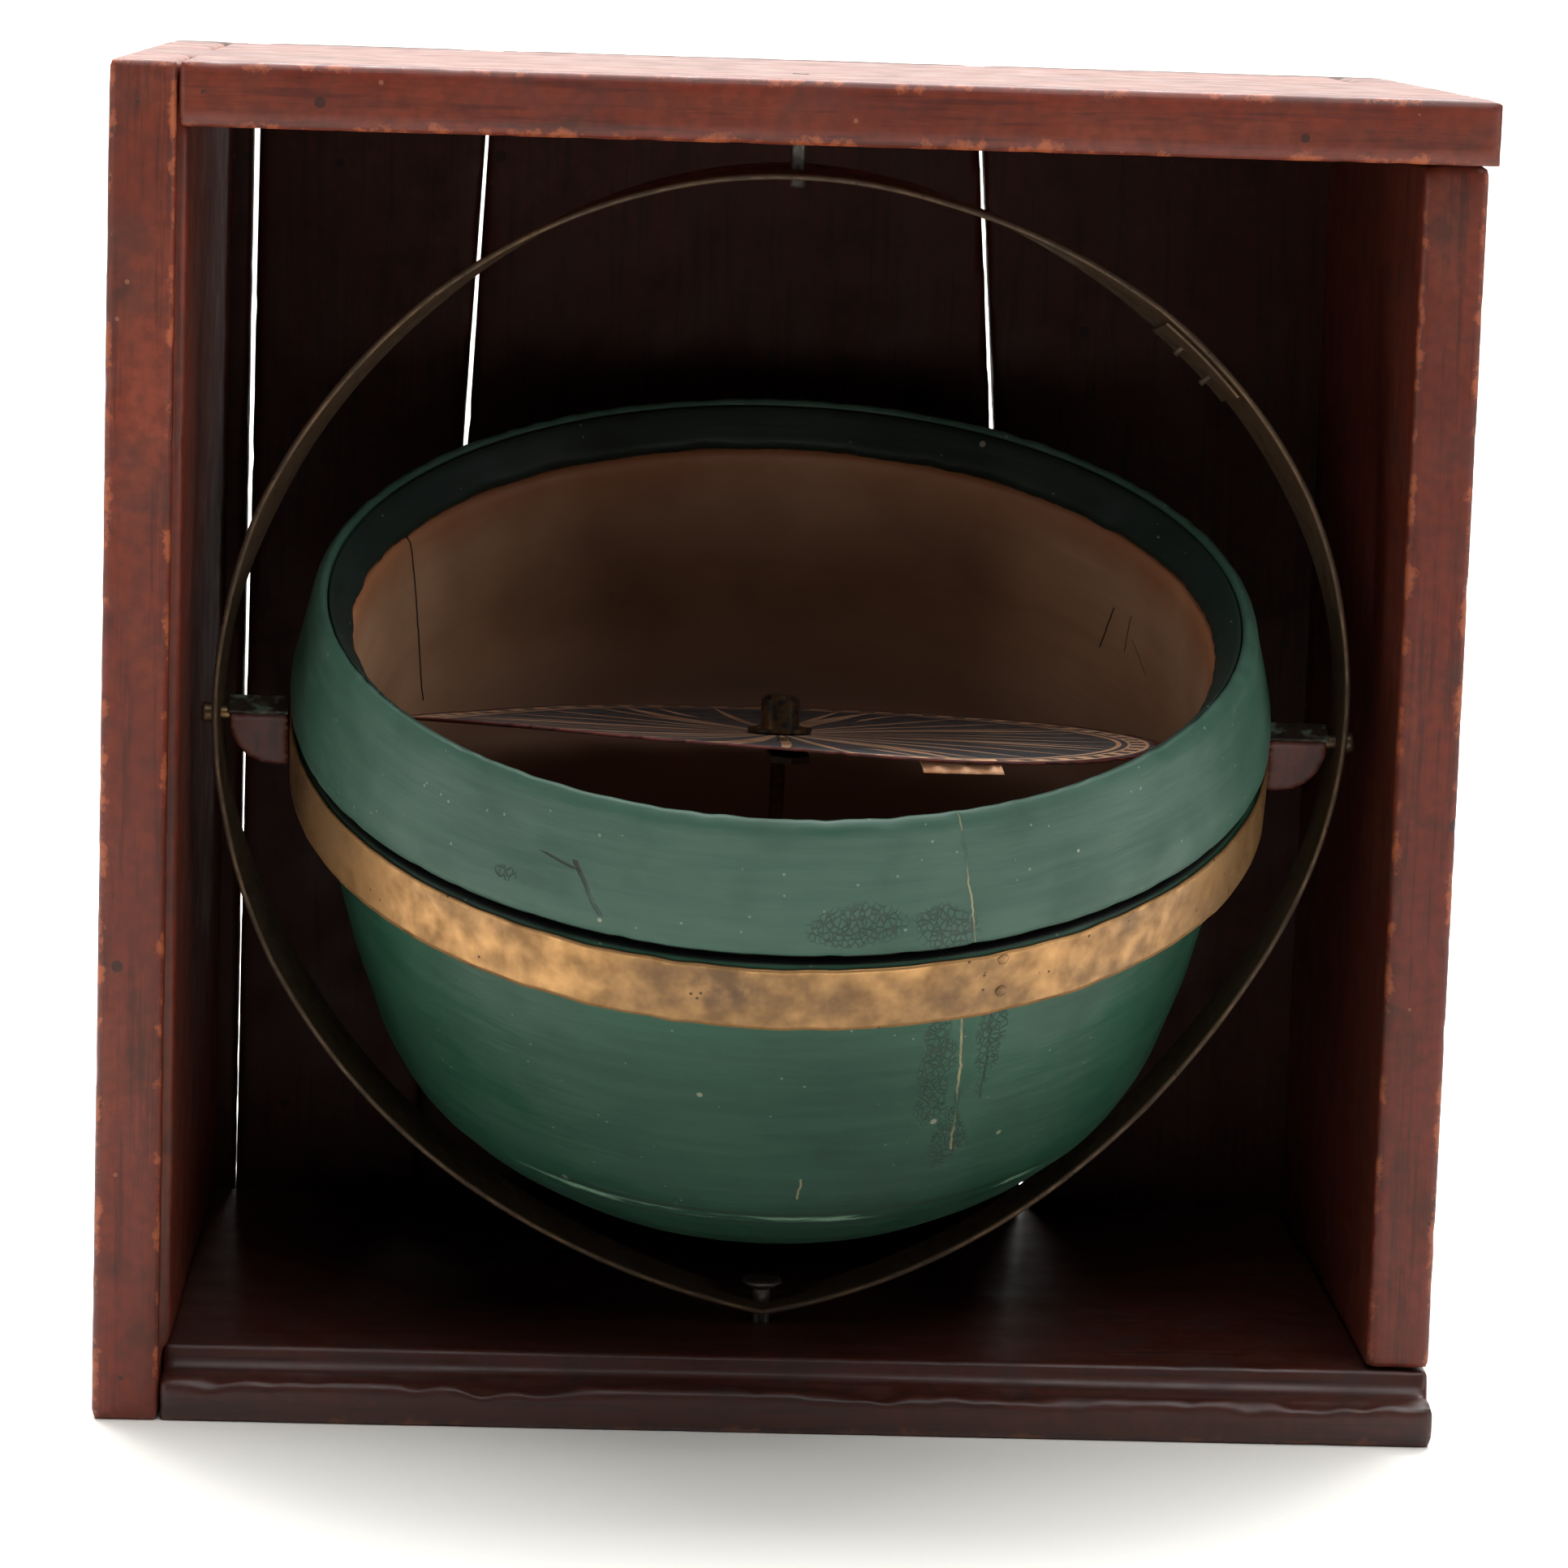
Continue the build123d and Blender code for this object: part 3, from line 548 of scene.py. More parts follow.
# %% Brushed green paint
def brushed_paint(name, base, deep, pale, lines, patches, rough=0.42, band=None, gap_shade_height=None, shade_heights=None):
    material, tree, shader = start_finish(name, Coat_Weight=0.06, Coat_Roughness=0.3, Specular_IOR_Level=0.35)
    place = object_place(tree)
    strokes = blotches(tree, brush_streaks(tree, place, 0.12), 420.0, 0.42, 0.62)
    clouds = blotches(tree, place, 22.0, 0.36, 0.68)
    grime = blotches(tree, place, 70.0, 0.52, 0.74)
    dust = specks(tree, 420.0, 0.13, 0.8)
    chips = specks(tree, 150.0, 0.1, 0.93)
    edges = use(tree, RUBBED_EDGES, {"Start": 0.12, "Full": 0.34, "Break Up": 260.0})
    spot = use(tree, ROUND_THE_BOWL)
    colour = mixed(tree, clouds["Mask"], base, deep)
    colour = dab(tree, colour, strokes["Mask"], 0.2, pale)
    colour = dab(tree, colour, grime["Mask"], 0.3, darker(deep, 0.45))
    colour = dab(tree, colour, edges["Worn"], 0.12, pale)
    # Points that lie low are painted darker, near black.
    colour = dab(tree, colour, edges["Darkened"], 0.8, tint(12, 20, 17))
    colour = dab(tree, colour, dust, 0.4, tint(140, 150, 140))
    colour = dab(tree, colour, chips, 0.7, tint(150, 148, 128))
    height = plus(tree, times(tree, strokes["Noise"], 0.9), times(tree, clouds["Noise"], 0.5))
    for middle_angle, middle_height, half_angle, half_height, size in patches:
        crazed = use(tree, CRAZED_PATCH, {
            "Angle": spot["Angle"], "Height": spot["Height"], "Scale": size,
            "Middle Angle": middle_angle, "Middle Height": middle_height,
            "Half Angle": half_angle, "Half Height": half_height,
        })
        colour = dab(tree, colour, crazed["Cracks"], 0.6, tint(26, 36, 32))
        height = minus(tree, height, times(tree, crazed["Cracks"], 1.2))
    for *ends_and_width, stain in lines:
        line = draw_line(tree, spot, *ends_and_width)
        broken = times(tree, line, step(tree, grime["Noise"], 0.36, 0.5))
        colour = mixed(tree, broken, colour, stain)
        height = minus(tree, height, line)
    # Painted shade: the paint darkens more and more towards the foot of the bowl, where less light falls.
    if shade_heights:
        shaded = step(tree, spot["Height"], shade_heights[0], shade_heights[1], 0.0, 0.62)
        colour = mixed(tree, shaded, colour, tint(10, 34, 25))
    # Painted shade: a near-black ring at this height, in the narrow gap between the collar's foot and the
    # brass hoop.
    if gap_shade_height:
        off = apart_from(tree, spot["Height"], gap_shade_height)
        colour = mixed(tree, step(tree, off, 1.3, 0.9), colour, tint(8, 10, 9))
    if band:
        off = apart_from(tree, spot["Height"], band)
        front = step(tree, apart_from(tree, spot["Angle"], 4.0), 46.0, 34.0)
        # Pale green flecks along the ridge at the front: partly chipped paint, partly a painted highlight.
        ridge_chips_and_highlight = times(tree, step(tree, off, 0.9, 0.4), step(tree, strokes["Noise"], 0.48, 0.56))
        ridge_chips_and_highlight = times(tree, ridge_chips_and_highlight, front)
        colour = dab(tree, colour, ridge_chips_and_highlight, 0.8, tint(104, 136, 112))
        # Painted shade: a dark ring at the front, just above and below the ridge.
        under = times(tree, step(tree, maths(tree, "ABSOLUTE", plus(tree, off, -1.5)), 0.7, 0.3), front)
        colour = dab(tree, colour, under, 0.5, tint(16, 30, 24))
        height = minus(tree, height, ridge_chips_and_highlight)
    dress(tree, shader, colour, grime["Noise"], rough - 0.06, rough + 0.16)
    relief(tree, shader, height, 0.5, 0.0005)
    return material


TAN, DARK_LINE = tint(142, 138, 106), tint(20, 28, 26)
BOWL_PAINT = brushed_paint(
    "bowl_green_paint", tint(32, 76, 57), tint(22, 60, 45), tint(52, 94, 75),
    (
        (23.8, -48.0, 21.5, -11.0, 0.4, TAN),
        (2.9, -57.0, 3.2, -51.5, 0.35, TAN),
        (26.2, -36.0, 25.6, -12.0, 0.25, DARK_LINE),
    ),
    ((19.0, -27.0, 2.6, 14.0, 900.0), (26.0, -22.0, 2.0, 14.0, 900.0), (22.5, -45.0, 3.0, 8.0, 1000.0)),
    band=-63.6, gap_shade_height=2.9, shade_heights=(-16.0, -74.0),
)
COLLAR_PAINT = brushed_paint(
    "collar_sage_paint", tint(50, 82, 69), tint(38, 70, 58), tint(72, 100, 86),
    (
        (20.6, 4.0, 18.9, 28.5, 0.25, TAN),
        (-21.2, 7.8, -24.9, 16.8, 0.7, DARK_LINE),
        (-24.6, 15.2, -28.8, 16.8, 1.3, DARK_LINE),
    ),
    ((7.0, 10.0, 5.5, 4.5, 1000.0), (17.0, 8.5, 4.0, 5.0, 1000.0), (-33.0, 11.0, 1.6, 1.4, 900.0)),
    rough=0.46, gap_shade_height=3.2,
)
PUTTY_PAINT = brushed_paint(
    "putty_green_paint", tint(20, 38, 32), tint(13, 26, 22), tint(30, 50, 42),
    (), ((-62.0, 25.0, 8.0, 4.0, 500.0),), rough=0.5,
)
print("green finishes made")

# %% [markdown]
# ## Finish: the cream lining
# Inside, the bowl is cream paint that has browned near the rim and run in faint tide marks. One
# black line is ruled down the wall on the left: the helmsman reads the card against it.

# %% Cream paint with a ruled line
LINING, tree, shader = start_finish("cream_lining_paint", Coat_Weight=0.1, Coat_Roughness=0.35)
place = object_place(tree)
spot = use(tree, ROUND_THE_BOWL)
strokes = blotches(tree, brush_streaks(tree, place, 0.1), 300.0, 0.4, 0.62)
clouds = blotches(tree, place, 30.0, 0.4, 0.68)
colour = mixed(tree, clouds["Mask"], tint(180, 140, 108), tint(144, 106, 80))
colour = dab(tree, colour, strokes["Mask"], 0.25, tint(150, 120, 90))
wavy_height = plus(tree, spot["Height"], times(tree, clouds["Noise"], 14.0))
colour = dab(tree, colour, step(tree, wavy_height, 17.0, 25.0), 0.7, tint(150, 88, 50))
tide = step(tree, apart_from(tree, wavy_height, 2.0), 1.4, 0.2, 0.0, 0.12)
colour = mixed(tree, tide, colour, tint(140, 100, 66))
colour = mixed(tree, step(tree, wavy_height, -6.0, -26.0), colour, tint(150, 116, 96))
height = plus(tree, strokes["Noise"], clouds["Noise"])
for ends_and_width in (
    (-118.2, -16.0, -117.4, 20.0, 0.42),
    (125.1, -4.5, 123.0, 5.5, 0.3),
    (113.3, -3.2, 117.9, 1.5, 0.3),
    (119.5, -2.0, 119.0, 6.0, 0.22),
):
    line = draw_line(tree, spot, *ends_and_width, Wander=0.35)
    colour = mixed(tree, line, colour, tint(24, 18, 16))
    height = minus(tree, height, line)
dress(tree, shader, colour, clouds["Noise"], 0.42, 0.6)
relief(tree, shader, height, 0.35, 0.0004)
print("lining finish made")

# %% [markdown]
# ## Finish: the paper card
# The card is a printed star on buff paper. Each point is half plain and half grey-blue, so it looks
# folded, and the ground between the points is grey-blue too. Angle and radius in the card's own
# plane are enough to draw it. Towards the middle the card is painted a darker brown.

# %% Printed card
CARD_PRINT, tree, shader = start_finish("card_print", Coat_Weight=0.15, Coat_Roughness=0.3)
place = object_place(tree)
apart = leaning_place(tree, card_point, CARD_LEAN)
across = times(tree, apart["X"], 1 / MM)
up = times(tree, apart["Y"], 1 / MM)
reach = length(tree, across, up)
bearing = times(tree, maths(tree, "ARCTAN2", across, up), 180 / math.pi)
bearing = plus(tree, bearing, 364.0)


def star_points(count, turned, root, tip, width):
    """Masks for one ring of points: where a point is, and its dark half."""
    sector = 360 / count
    folded = maths(tree, "MODULO", plus(tree, bearing, turned), sector)
    side = minus(tree, folded, sector / 2)
    half = step(tree, reach, root, tip, width, 0.0)
    body = times(tree, maths(tree, "LESS_THAN", maths(tree, "ABSOLUTE", side), half),
                 maths(tree, "LESS_THAN", reach, tip))
    body = times(tree, body, maths(tree, "GREATER_THAN", reach, root * 0.6))
    return body, times(tree, body, maths(tree, "GREATER_THAN", side, 0.0))


soft = cloud_noise(tree, place, 240.0, Detail=5.0)
aged = cloud_noise(tree, place, 45.0, Detail=5.0)
paper = mixed(tree, step(tree, aged, 0.35, 0.65), tint(240, 190, 150), tint(204, 150, 114))
ink = mixed(tree, step(tree, soft, 0.4, 0.6), tint(84, 88, 90), tint(66, 68, 72))
colour = ink
for star in ((32, 0.0, 9.0, 66.0, 5.4), (16, 5.6, 8.0, 66.0, 6.0), (8, 0.0, 6.0, 66.0, 12.0)):
    body, shade = star_points(*star)
    colour = mixed(tree, body, colour, paper)
    colour = mixed(tree, shade, colour, ink)
for circle, width in ((64.4, 0.5), (66.4, 0.3), (69.8, 0.35)):
    ring = maths(tree, "LESS_THAN", apart_from(tree, reach, circle), width)
    colour = mixed(tree, ring, colour, paper)
TICK_DEGREES = 5.625
ticks = maths(tree, "LESS_THAN", maths(tree, "MODULO", bearing, TICK_DEGREES), TICK_DEGREES / 2)
ticks = times(tree, ticks, maths(tree, "GREATER_THAN", reach, 66.8))
colour = mixed(tree, times(tree, ticks, maths(tree, "LESS_THAN", reach, 69.4)), colour, paper)
browned = step(tree, plus(tree, reach, times(tree, soft, 3.4)), 72.2, 73.2)
colour = mixed(tree, browned, colour, tint(74, 26, 20))
colour = mixed(tree, step(tree, aged, 0.56, 0.72, 0.0, 0.5), colour, tint(84, 60, 50))
# The card is painted a darker brown towards its middle.
darker_middle = step(tree, reach, 66.0, 34.0, 0.0, 0.6)
colour = mixed(tree, darker_middle, colour, tint(58, 46, 42))
dress(tree, shader, colour, soft, 0.4, 0.6)
relief(tree, shader, soft, 0.3, 0.0002)

CARD_BACKING, tree, shader = start_finish("card_backing")
fuzz = blotches(tree, object_place(tree), 220.0, 0.35, 0.65)
colour = mixed(tree, fuzz["Mask"], tint(96, 34, 26), tint(60, 22, 18))
dress(tree, shader, colour, fuzz["Noise"], 0.7, 0.9)
relief(tree, shader, fuzz["Noise"], 0.4, 0.0003)
print("card finishes made")

# %% [markdown]
# ## Finish: trunnion blocks and the jewel
# The two blocks that carry the bowl are dark red-brown, and the plate above each has corroded to a
# green crust. The jewel is a small polished stone inside the cap.

# %% Block, plate and jewel finishes
BLOCK_WOOD = stained_wood("block_wood", (1, 1, 0.2), 0.7)

PLATE_METAL, tree, shader = start_finish("plate_verdigris_metal")
place = object_place(tree)
crust = blotches(tree, place, 260.0, 0.5, 0.6)
rust = blotches(tree, place, 520.0, 0.4, 0.6)
colour = mixed(tree, rust["Mask"], tint(58, 48, 38), tint(36, 28, 23))
colour = mixed(tree, crust["Mask"], colour, tint(64, 74, 62))
dress(tree, shader, colour, rust["Noise"], 0.4, 0.7)
tree.links.new(step(tree, crust["Mask"], 0.0, 1.0, 0.7, 0.05), shader.inputs["Metallic"])
relief(tree, shader, plus(tree, crust["Mask"], rust["Noise"]), 0.5, 0.0003)

JEWEL, tree, shader = start_finish("jewel_stone", Coat_Weight=0.6, Coat_Roughness=0.05)
veins = blotches(tree, object_place(tree), 900.0, 0.4, 0.6)
colour = mixed(tree, veins["Mask"], tint(120, 60, 40), tint(70, 30, 24))
dress(tree, shader, colour, veins["Noise"], 0.1, 0.25)
print("small finishes made")

# %% [markdown]
# ## Mesh helpers
# Three small tools do most of the shaping. One wraps a mesh as a named piece that rides on a body.
# One measures how far each point stands out of its smoothed surroundings, which finds edges and
# hollows on any shape. One pushes points in by soft noise, so that no face is perfectly flat.


# %% Make a piece, measure its edges, roughen its faces
def points_of(mesh):
    flat_list = np.empty(len(mesh.vertices) * 3)
    mesh.vertices.foreach_get("co", flat_list)
    return flat_list.reshape(-1, 3)


def set_points(mesh, points):
    mesh.vertices.foreach_set("co", np.ascontiguousarray(points, dtype=np.float32).ravel())
    mesh.update()


def normals_of(mesh):
    flat_list = np.empty(len(mesh.vertices) * 3)
    mesh.vertex_normals.foreach_get("vector", flat_list)
    return flat_list.reshape(-1, 3)


def smoothed(mesh, points, passes, share=0.5):
    """The points after each has moved towards its neighbours' middle, a number of times."""
    pairs = np.empty(len(mesh.edges) * 2, dtype=np.int64)
    mesh.edges.foreach_get("vertices", pairs)
    pairs = pairs.reshape(-1, 2)
    ends = np.concatenate([pairs[:, 0], pairs[:, 1]])
    others = np.concatenate([pairs[:, 1], pairs[:, 0]])
    count = np.maximum(np.bincount(ends, minlength=len(points)), 1)[:, None]
    for _ in range(passes):
        total = np.stack([np.bincount(ends, points[others, k], len(points)) for k in range(3)], 1)
        points = (1 - share) * points + share * total / count
    return points


def measure_crown(mesh, passes=8):
    """Stores how far each point stands out, in millimetres, as the attribute that wear and the darkening of
    low places read.
    """
    points = points_of(mesh)
    out_by = ((points - smoothed(mesh, points, passes)) * normals_of(mesh)).sum(1) / MM
    attribute = mesh.attributes.new("crown", "FLOAT", "POINT")
    attribute.data.foreach_set("value", out_by.astype(np.float32))
    shares = np.percentile(out_by, (1, 90, 97, 99, 100))
    print(mesh.name, "stands out by", [round(float(share), 2) for share in shares])
    return out_by


def roughen(mesh, depth, scale, nicks=0.0, crown=None, seed=0.0):
    """Pushes points in along their normals by soft noise, and bites nicks into what stands out."""
    points, normals = points_of(mesh), normals_of(mesh)
    shift = Vector((seed, seed * 1.7, -seed))
    push = np.empty(len(points))
    for index, point in enumerate(points):
        spot = Vector(point) * scale + shift
        push[index] = depth * (0.5 + 0.5 * noise.noise(spot))
        if nicks and crown[index] > 0.12:
            push[index] += nicks * max(0.0, noise.noise(spot * 4.0) - 0.1)
    set_points(mesh, points - normals * push[:, None])


def finish_piece(name, mesh, body, materials, replaces=()):
    for material in materials:
        mesh.materials.append(material)
    mesh.shade_smooth()
    piece = bpy.data.objects.new(name, mesh)
    bpy.context.scene.collection.objects.link(piece)
    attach(piece, body)
    if replaces:
        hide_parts(*replaces)
    print(name, "faces", len(mesh.polygons))
    return piece


def taken_from(holder):
    """The mesh that an object's modifiers make. The object itself goes."""
    evaluated = holder.evaluated_get(bpy.context.evaluated_depsgraph_get())
    made = bpy.data.meshes.new_from_object(evaluated)
    bpy.data.objects.remove(holder)
    return made


def apply_modifiers(mesh, *modifiers):
    """A new mesh with the given modifiers applied. Each is (kind, settings)."""
    holder = bpy.data.objects.new("holder", mesh)
    bpy.context.scene.collection.objects.link(holder)
    for kind, settings in modifiers:
        modifier = holder.modifiers.new(kind.lower(), kind)
        for key, value in settings.items():
            setattr(modifier, key, value)
    return taken_from(holder)


# %% [markdown]
# ## Worn boards and blocks
# Fresh boards have knife edges, and these have been rubbed for a century. A bevel would round every
# edge alike. Instead each CAD board is recast as an even skin of small faces and relaxed a little,
# which softens its edges. That shrinks it, so it is stretched back to its CAD box. Then noise presses
# the faces and nibbles the edges.


# %% Recast a CAD node with worn edges
def worn_copy(node, cell, relax, depth, scale, nicks, seed):
    source = frame["nodes"][node].data.copy()
    source.materials.clear()
    shape = bmesh.new()
    shape.from_mesh(source)
    bmesh.ops.remove_doubles(shape, verts=shape.verts, dist=1e-6)
    shape.to_mesh(source)
    shape.free()
    mesh = apply_modifiers(source, ("REMESH", {"mode": "VOXEL", "voxel_size": cell, "adaptivity": 0.0}))
    mesh.name = f"{node}_worn"
    mesh.materials.clear()
    set_points(mesh, smoothed(mesh, points_of(mesh), relax))
    low, high = (np.array(corner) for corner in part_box(node))
    points = points_of(mesh)
    shrunk_low, shrunk_high = points.min(0), points.max(0)
    set_points(mesh, low + (points - shrunk_low) * (high - low) / (shrunk_high - shrunk_low))
    crown = measure_crown(mesh)
    roughen(mesh, depth, scale, nicks, crown, seed)
    return mesh


LIP_DEPTH, LIP_HEIGHT = 4.6 * MM, 5.6 * MM


def splinter_lip(mesh):
    """Breaks the low front lip of the floor board into long torn splinters."""
    points = points_of(mesh)
    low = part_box("bottom_board")[0]
    lip = (points[:, 1] < front_y + LIP_DEPTH) & (points[:, 2] > low.z + LIP_HEIGHT)
    for index in np.nonzero(lip)[0]:
        x, y, z = points[index]
        broad = noise.noise(Vector((x * 34, y * 200, 1.3)))
        fine = noise.noise(Vector((x * 160, y * 420, 4.1)))
        shade_heights = min(1.0, (z - low.z) / LIP_HEIGHT - 0.4)
        points[index, 2] -= max(0.0, broad + 0.6 * fine + 0.25) * 1.9 * MM * shade_heights
    set_points(mesh, points)


BOARDS = (
    ("left_board", WOOD_LEFT, 1.3),
    ("right_board", WOOD_RIGHT, 2.9),
    ("top_board", WOOD_TOP, 4.7),
    ("bottom_board", WOOD_FLOOR, 6.1),
)
for node, finish, seed in BOARDS:
    mesh = worn_copy(node, 1.25 * MM, 1, 0.05 * MM, 45, 0.3 * MM, seed)
    if node == "bottom_board":
        splinter_lip(mesh)
    finish_piece(f"worn_{node}", mesh, "box", [finish], [node])
for number in range(1, 5):
    mesh = worn_copy(f"back_plank_{number}", 1.6 * MM, 1, 0.06 * MM, 40, 0.35 * MM, number * 1.9)
    finish_piece(f"worn_back_plank_{number}", mesh, "box", [WOOD_BACK], [f"back_plank_{number}"])
for side in ("left", "right"):
    mesh = worn_copy(f"{side}_trunnion_block", 0.5 * MM, 3, 0.08 * MM, 200, 0.3 * MM, 3.3)
    finish_piece(f"worn_{side}_block", mesh, "bowl", [BLOCK_WOOD], [f"{side}_trunnion_block"])
    mesh = worn_copy(f"{side}_trunnion_plate", 0.4 * MM, 2, 0.1 * MM, 300, 0.3 * MM, 5.3)
    finish_piece(f"worn_{side}_plate", mesh, "bowl", [PLATE_METAL], [f"{side}_trunnion_plate"])

# %% [markdown]
# ## Turned forms
# The bowl, its collar, the putty and the hoop were all turned on a lathe or bent round one, so one
# Geometry Nodes tree makes them. It lays out a grid, reads a profile point for each row, and turns
# each column by its share of the circle. A number stored with each profile point picks the paint.


# %% Start and end of a Geometry Nodes tree
def new_tree(name, *takes):
    """An empty geometry tree with named inputs (name, kind) and one output."""
    tree = bpy.data.node_groups.new(name, "GeometryNodeTree")
    for label, kind in (*takes, ("Finish", "Material")):
        tree.interface.new_socket(label, in_out="INPUT", socket_type=f"NodeSocket{kind}")
    tree.interface.new_socket("Form", in_out="OUTPUT", socket_type="NodeSocketGeometry")
    return tree, tree.nodes.new("NodeGroupInput").outputs


def end_tree(tree, start, geometry):
    """Realises what the tree made, and gives it its finish."""
    real = add(tree, "GeometryNodeRealizeInstances", {"Geometry": geometry}).outputs[0]
    painted = add(tree, "GeometryNodeSetMaterial", {"Geometry": real, "Material": start["Finish"]}).outputs[0]
    tree.links.new(painted, tree.nodes.new("NodeGroupOutput").inputs["Form"])
    print(tree.name, "nodes", len(tree.nodes))


def named_value(tree, name, kind):
    """A number or a vector stored on the points."""
    node = add(tree, "GeometryNodeInputNamedAttribute", {"Name": name}, data_type=kind)
    return node.outputs["Attribute"]


def vector_of(tree, **parts):
    return add(tree, "ShaderNodeCombineXYZ", parts).outputs[0]


# %% The lathe, as a Geometry Nodes tree
lathe, start = new_tree(
    "lathe", ("Profile", "Geometry"), ("Columns", "Int"), ("Pivot", "Vector"), ("Lean", "Float")
)
counted = add(lathe, "GeometryNodeAttributeDomainSize", {"Geometry": start["Profile"]}, component="MESH")
rows = counted.outputs["Point Count"]
columns = plus(lathe, start["Columns"], 1.0)
sheet = add(lathe, "GeometryNodeMeshGrid", {"Vertices X": columns, "Vertices Y": rows}).outputs["Mesh"]
number = add(lathe, "GeometryNodeInputIndex").outputs[0]
column = maths(lathe, "FLOOR", maths(lathe, "DIVIDE", plus(lathe, number, 0.5), rows))
row = minus(lathe, number, times(lathe, column, rows))
where = add(lathe, "GeometryNodeInputPosition").outputs[0]
read = lathe.nodes.new("GeometryNodeSampleIndex")
read.data_type, read.domain = "FLOAT_VECTOR", "POINT"
lathe.links.new(start["Profile"], read.inputs["Geometry"])
lathe.links.new(where, read.inputs["Value"])
lathe.links.new(row, read.inputs["Index"])
cut = add(lathe, "ShaderNodeSeparateXYZ", {0: read.outputs["Value"]}).outputs
turned = times(lathe, maths(lathe, "DIVIDE", column, start["Columns"]), 2 * math.pi)
east = times(lathe, cut["X"], maths(lathe, "SINE", turned))
north = times(lathe, cut["X"], maths(lathe, "COSINE", turned))
leant = tipped(lathe, vector_of(lathe, X=east, Y=north, Z=cut["Z"]), start["Lean"])
placed = vectors(lathe, "ADD", leant, start["Pivot"])
stored = {"Geometry": sheet, "Name": "paint", "Value": cut["Y"]}
marked = add(lathe, "GeometryNodeStoreNamedAttribute", stored, data_type="FLOAT", domain="POINT").outputs[0]
formed = add(lathe, "GeometryNodeSetPosition", {"Geometry": marked, "Position": placed}).outputs[0]
closed = add(lathe, "GeometryNodeMergeByDistance", {"Geometry": formed, "Distance": 1e-6}).outputs[0]
end_tree(lathe, start, closed)


# %% Run a tree on a mesh and keep plain mesh
def run_tree(tree, source, **values):
    holder = bpy.data.objects.new("holder", source)
    bpy.context.scene.collection.objects.link(holder)
    modifier = holder.modifiers.new("tree", "NODES")
    modifier.node_group = tree
    sockets = {item.name: item.identifier for item in tree.interface.items_tree if item.in_out == "INPUT"}
    for key, value in values.items():
        modifier[sockets[key]] = value
    return taken_from(holder)


def face_outwards(mesh):
    shape = bmesh.new()
    shape.from_mesh(mesh)
    bmesh.ops.remove_doubles(shape, verts=shape.verts, dist=1e-6)
    bmesh.ops.recalc_face_normals(shape, faces=shape.faces)
    shape.to_mesh(mesh)
    shape.free()


def even_profile(corners, spacing, soften, closed):
    """Profile corners (radius, height, paint) in mm, divided evenly and softened at the corners."""
    corners = [np.array(c, float) for c in corners]
    if closed:
        corners.append(corners[0])
    points = []
    for first, second in zip(corners, corners[1:]):
        parts = max(1, round(np.linalg.norm((second - first)[:2]) / spacing))
        points += [first + (second - first) * k / parts for k in range(parts)]
    if not closed:
        points.append(corners[-1])
    points = np.array(points)
    for _ in range(soften):
        middle = (np.roll(points, 1, 0) + np.roll(points, -1, 0)) / 2
        if not closed:
            middle[0], middle[-1] = points[0], points[-1]
        points[:, :2] = 0.5 * points[:, :2] + 0.5 * middle[:, :2]
    if closed:
        points = np.vstack([points, points[:1]])
    return points


def turn_form(name, corners, columns, finish, spacing=1.2, soften=2, closed=True, lean=BOWL_LEAN):
    profile = even_profile(corners, spacing, soften, closed)
    source = bpy.data.meshes.new(f"{name}_profile")
    ends = [(k, k + 1) for k in range(len(profile) - 1)]
    source.from_pydata([(r * MM, paint, h * MM) for r, h, paint in profile], ends, [])
    mesh = run_tree(lathe, source, Columns=columns, Pivot=tuple(swing_point), Lean=lean, Finish=finish)
    face_outwards(mesh)
    mesh.name = name
    mesh.materials.clear()
    return mesh


def in_bowl(mesh):
    """Each point's angle in degrees, radius and height in mm, round the bowl's own axis."""
    inverse = np.array(bowl_axes.inverted())
    local = points_of(mesh) @ inverse[:3, :3].T + inverse[:3, 3]
    angle = np.degrees(np.arctan2(local[:, 0], -local[:, 1]))
    return angle, np.hypot(local[:, 0], local[:, 1]) / MM, local[:, 2] / MM


def from_bowl(mesh, angle, radius, height):
    turned = np.radians(angle)
    local = np.stack([radius * np.sin(turned), -radius * np.cos(turned), height], 1) * MM
    matrix = np.array(bowl_axes)
    set_points(mesh, local @ matrix[:3, :3].T + matrix[:3, 3])


def ring_noise(angle, height, scale, stretch, seed):
    """Soft noise that closes on itself round the bowl."""
    turned = np.radians(angle)
    return np.array([
        noise.noise(Vector((math.sin(a) * scale, math.cos(a) * scale, h * stretch + seed)))
        for a, h in zip(turned, height)
    ])

# %% [markdown]
# ## The bowl
# A turned wooden bowl, thick in the wall. The profile below is the same as the frame's, walked from
# the middle of the foot, up the outside, over the mouth and down the inside. A last number of 0 is
# green paint and 1 is cream. After turning, the skin gets the shallow waves of old wood, the split
# on the right, and the ridge where the side meets the foot.

# %% Turn and age the bowl
BOWL_OUTSIDE = (
    (0, -86.4), (46, -86.4), (57, -80), (65.6, -73), (72.6, -65.3), (76.8, -57), (81.4, -41), (84.8, -25),
    (86.2, -10.4), (92.2, -10.4), (92.2, 2.4), (85.5, 2.4), (85.5, 18.7),
)
BOWL_INSIDE = (
    (80.9, 20.2), (80.0, 12.0), (79.4, 4.0), (78.4, -14.0), (75.6, -32.0), (69.0, -49.0), (57.0, -63.0),
    (46.0, -70.0), (43.0, -71.0), (0, -71.0),
)
SPLIT_ANGLES, SPLIT_HEIGHTS = (23.8, 21.5), (-48.0, -11.0)
corners = [(r, h, 0.0) for r, h in BOWL_OUTSIDE] + [(r, h, 1.0) for r, h in BOWL_INSIDE]
mesh = turn_form("turned_bowl", corners, 400, BOWL_PAINT, spacing=1.5, closed=False)
angle, radius, height = in_bowl(mesh)
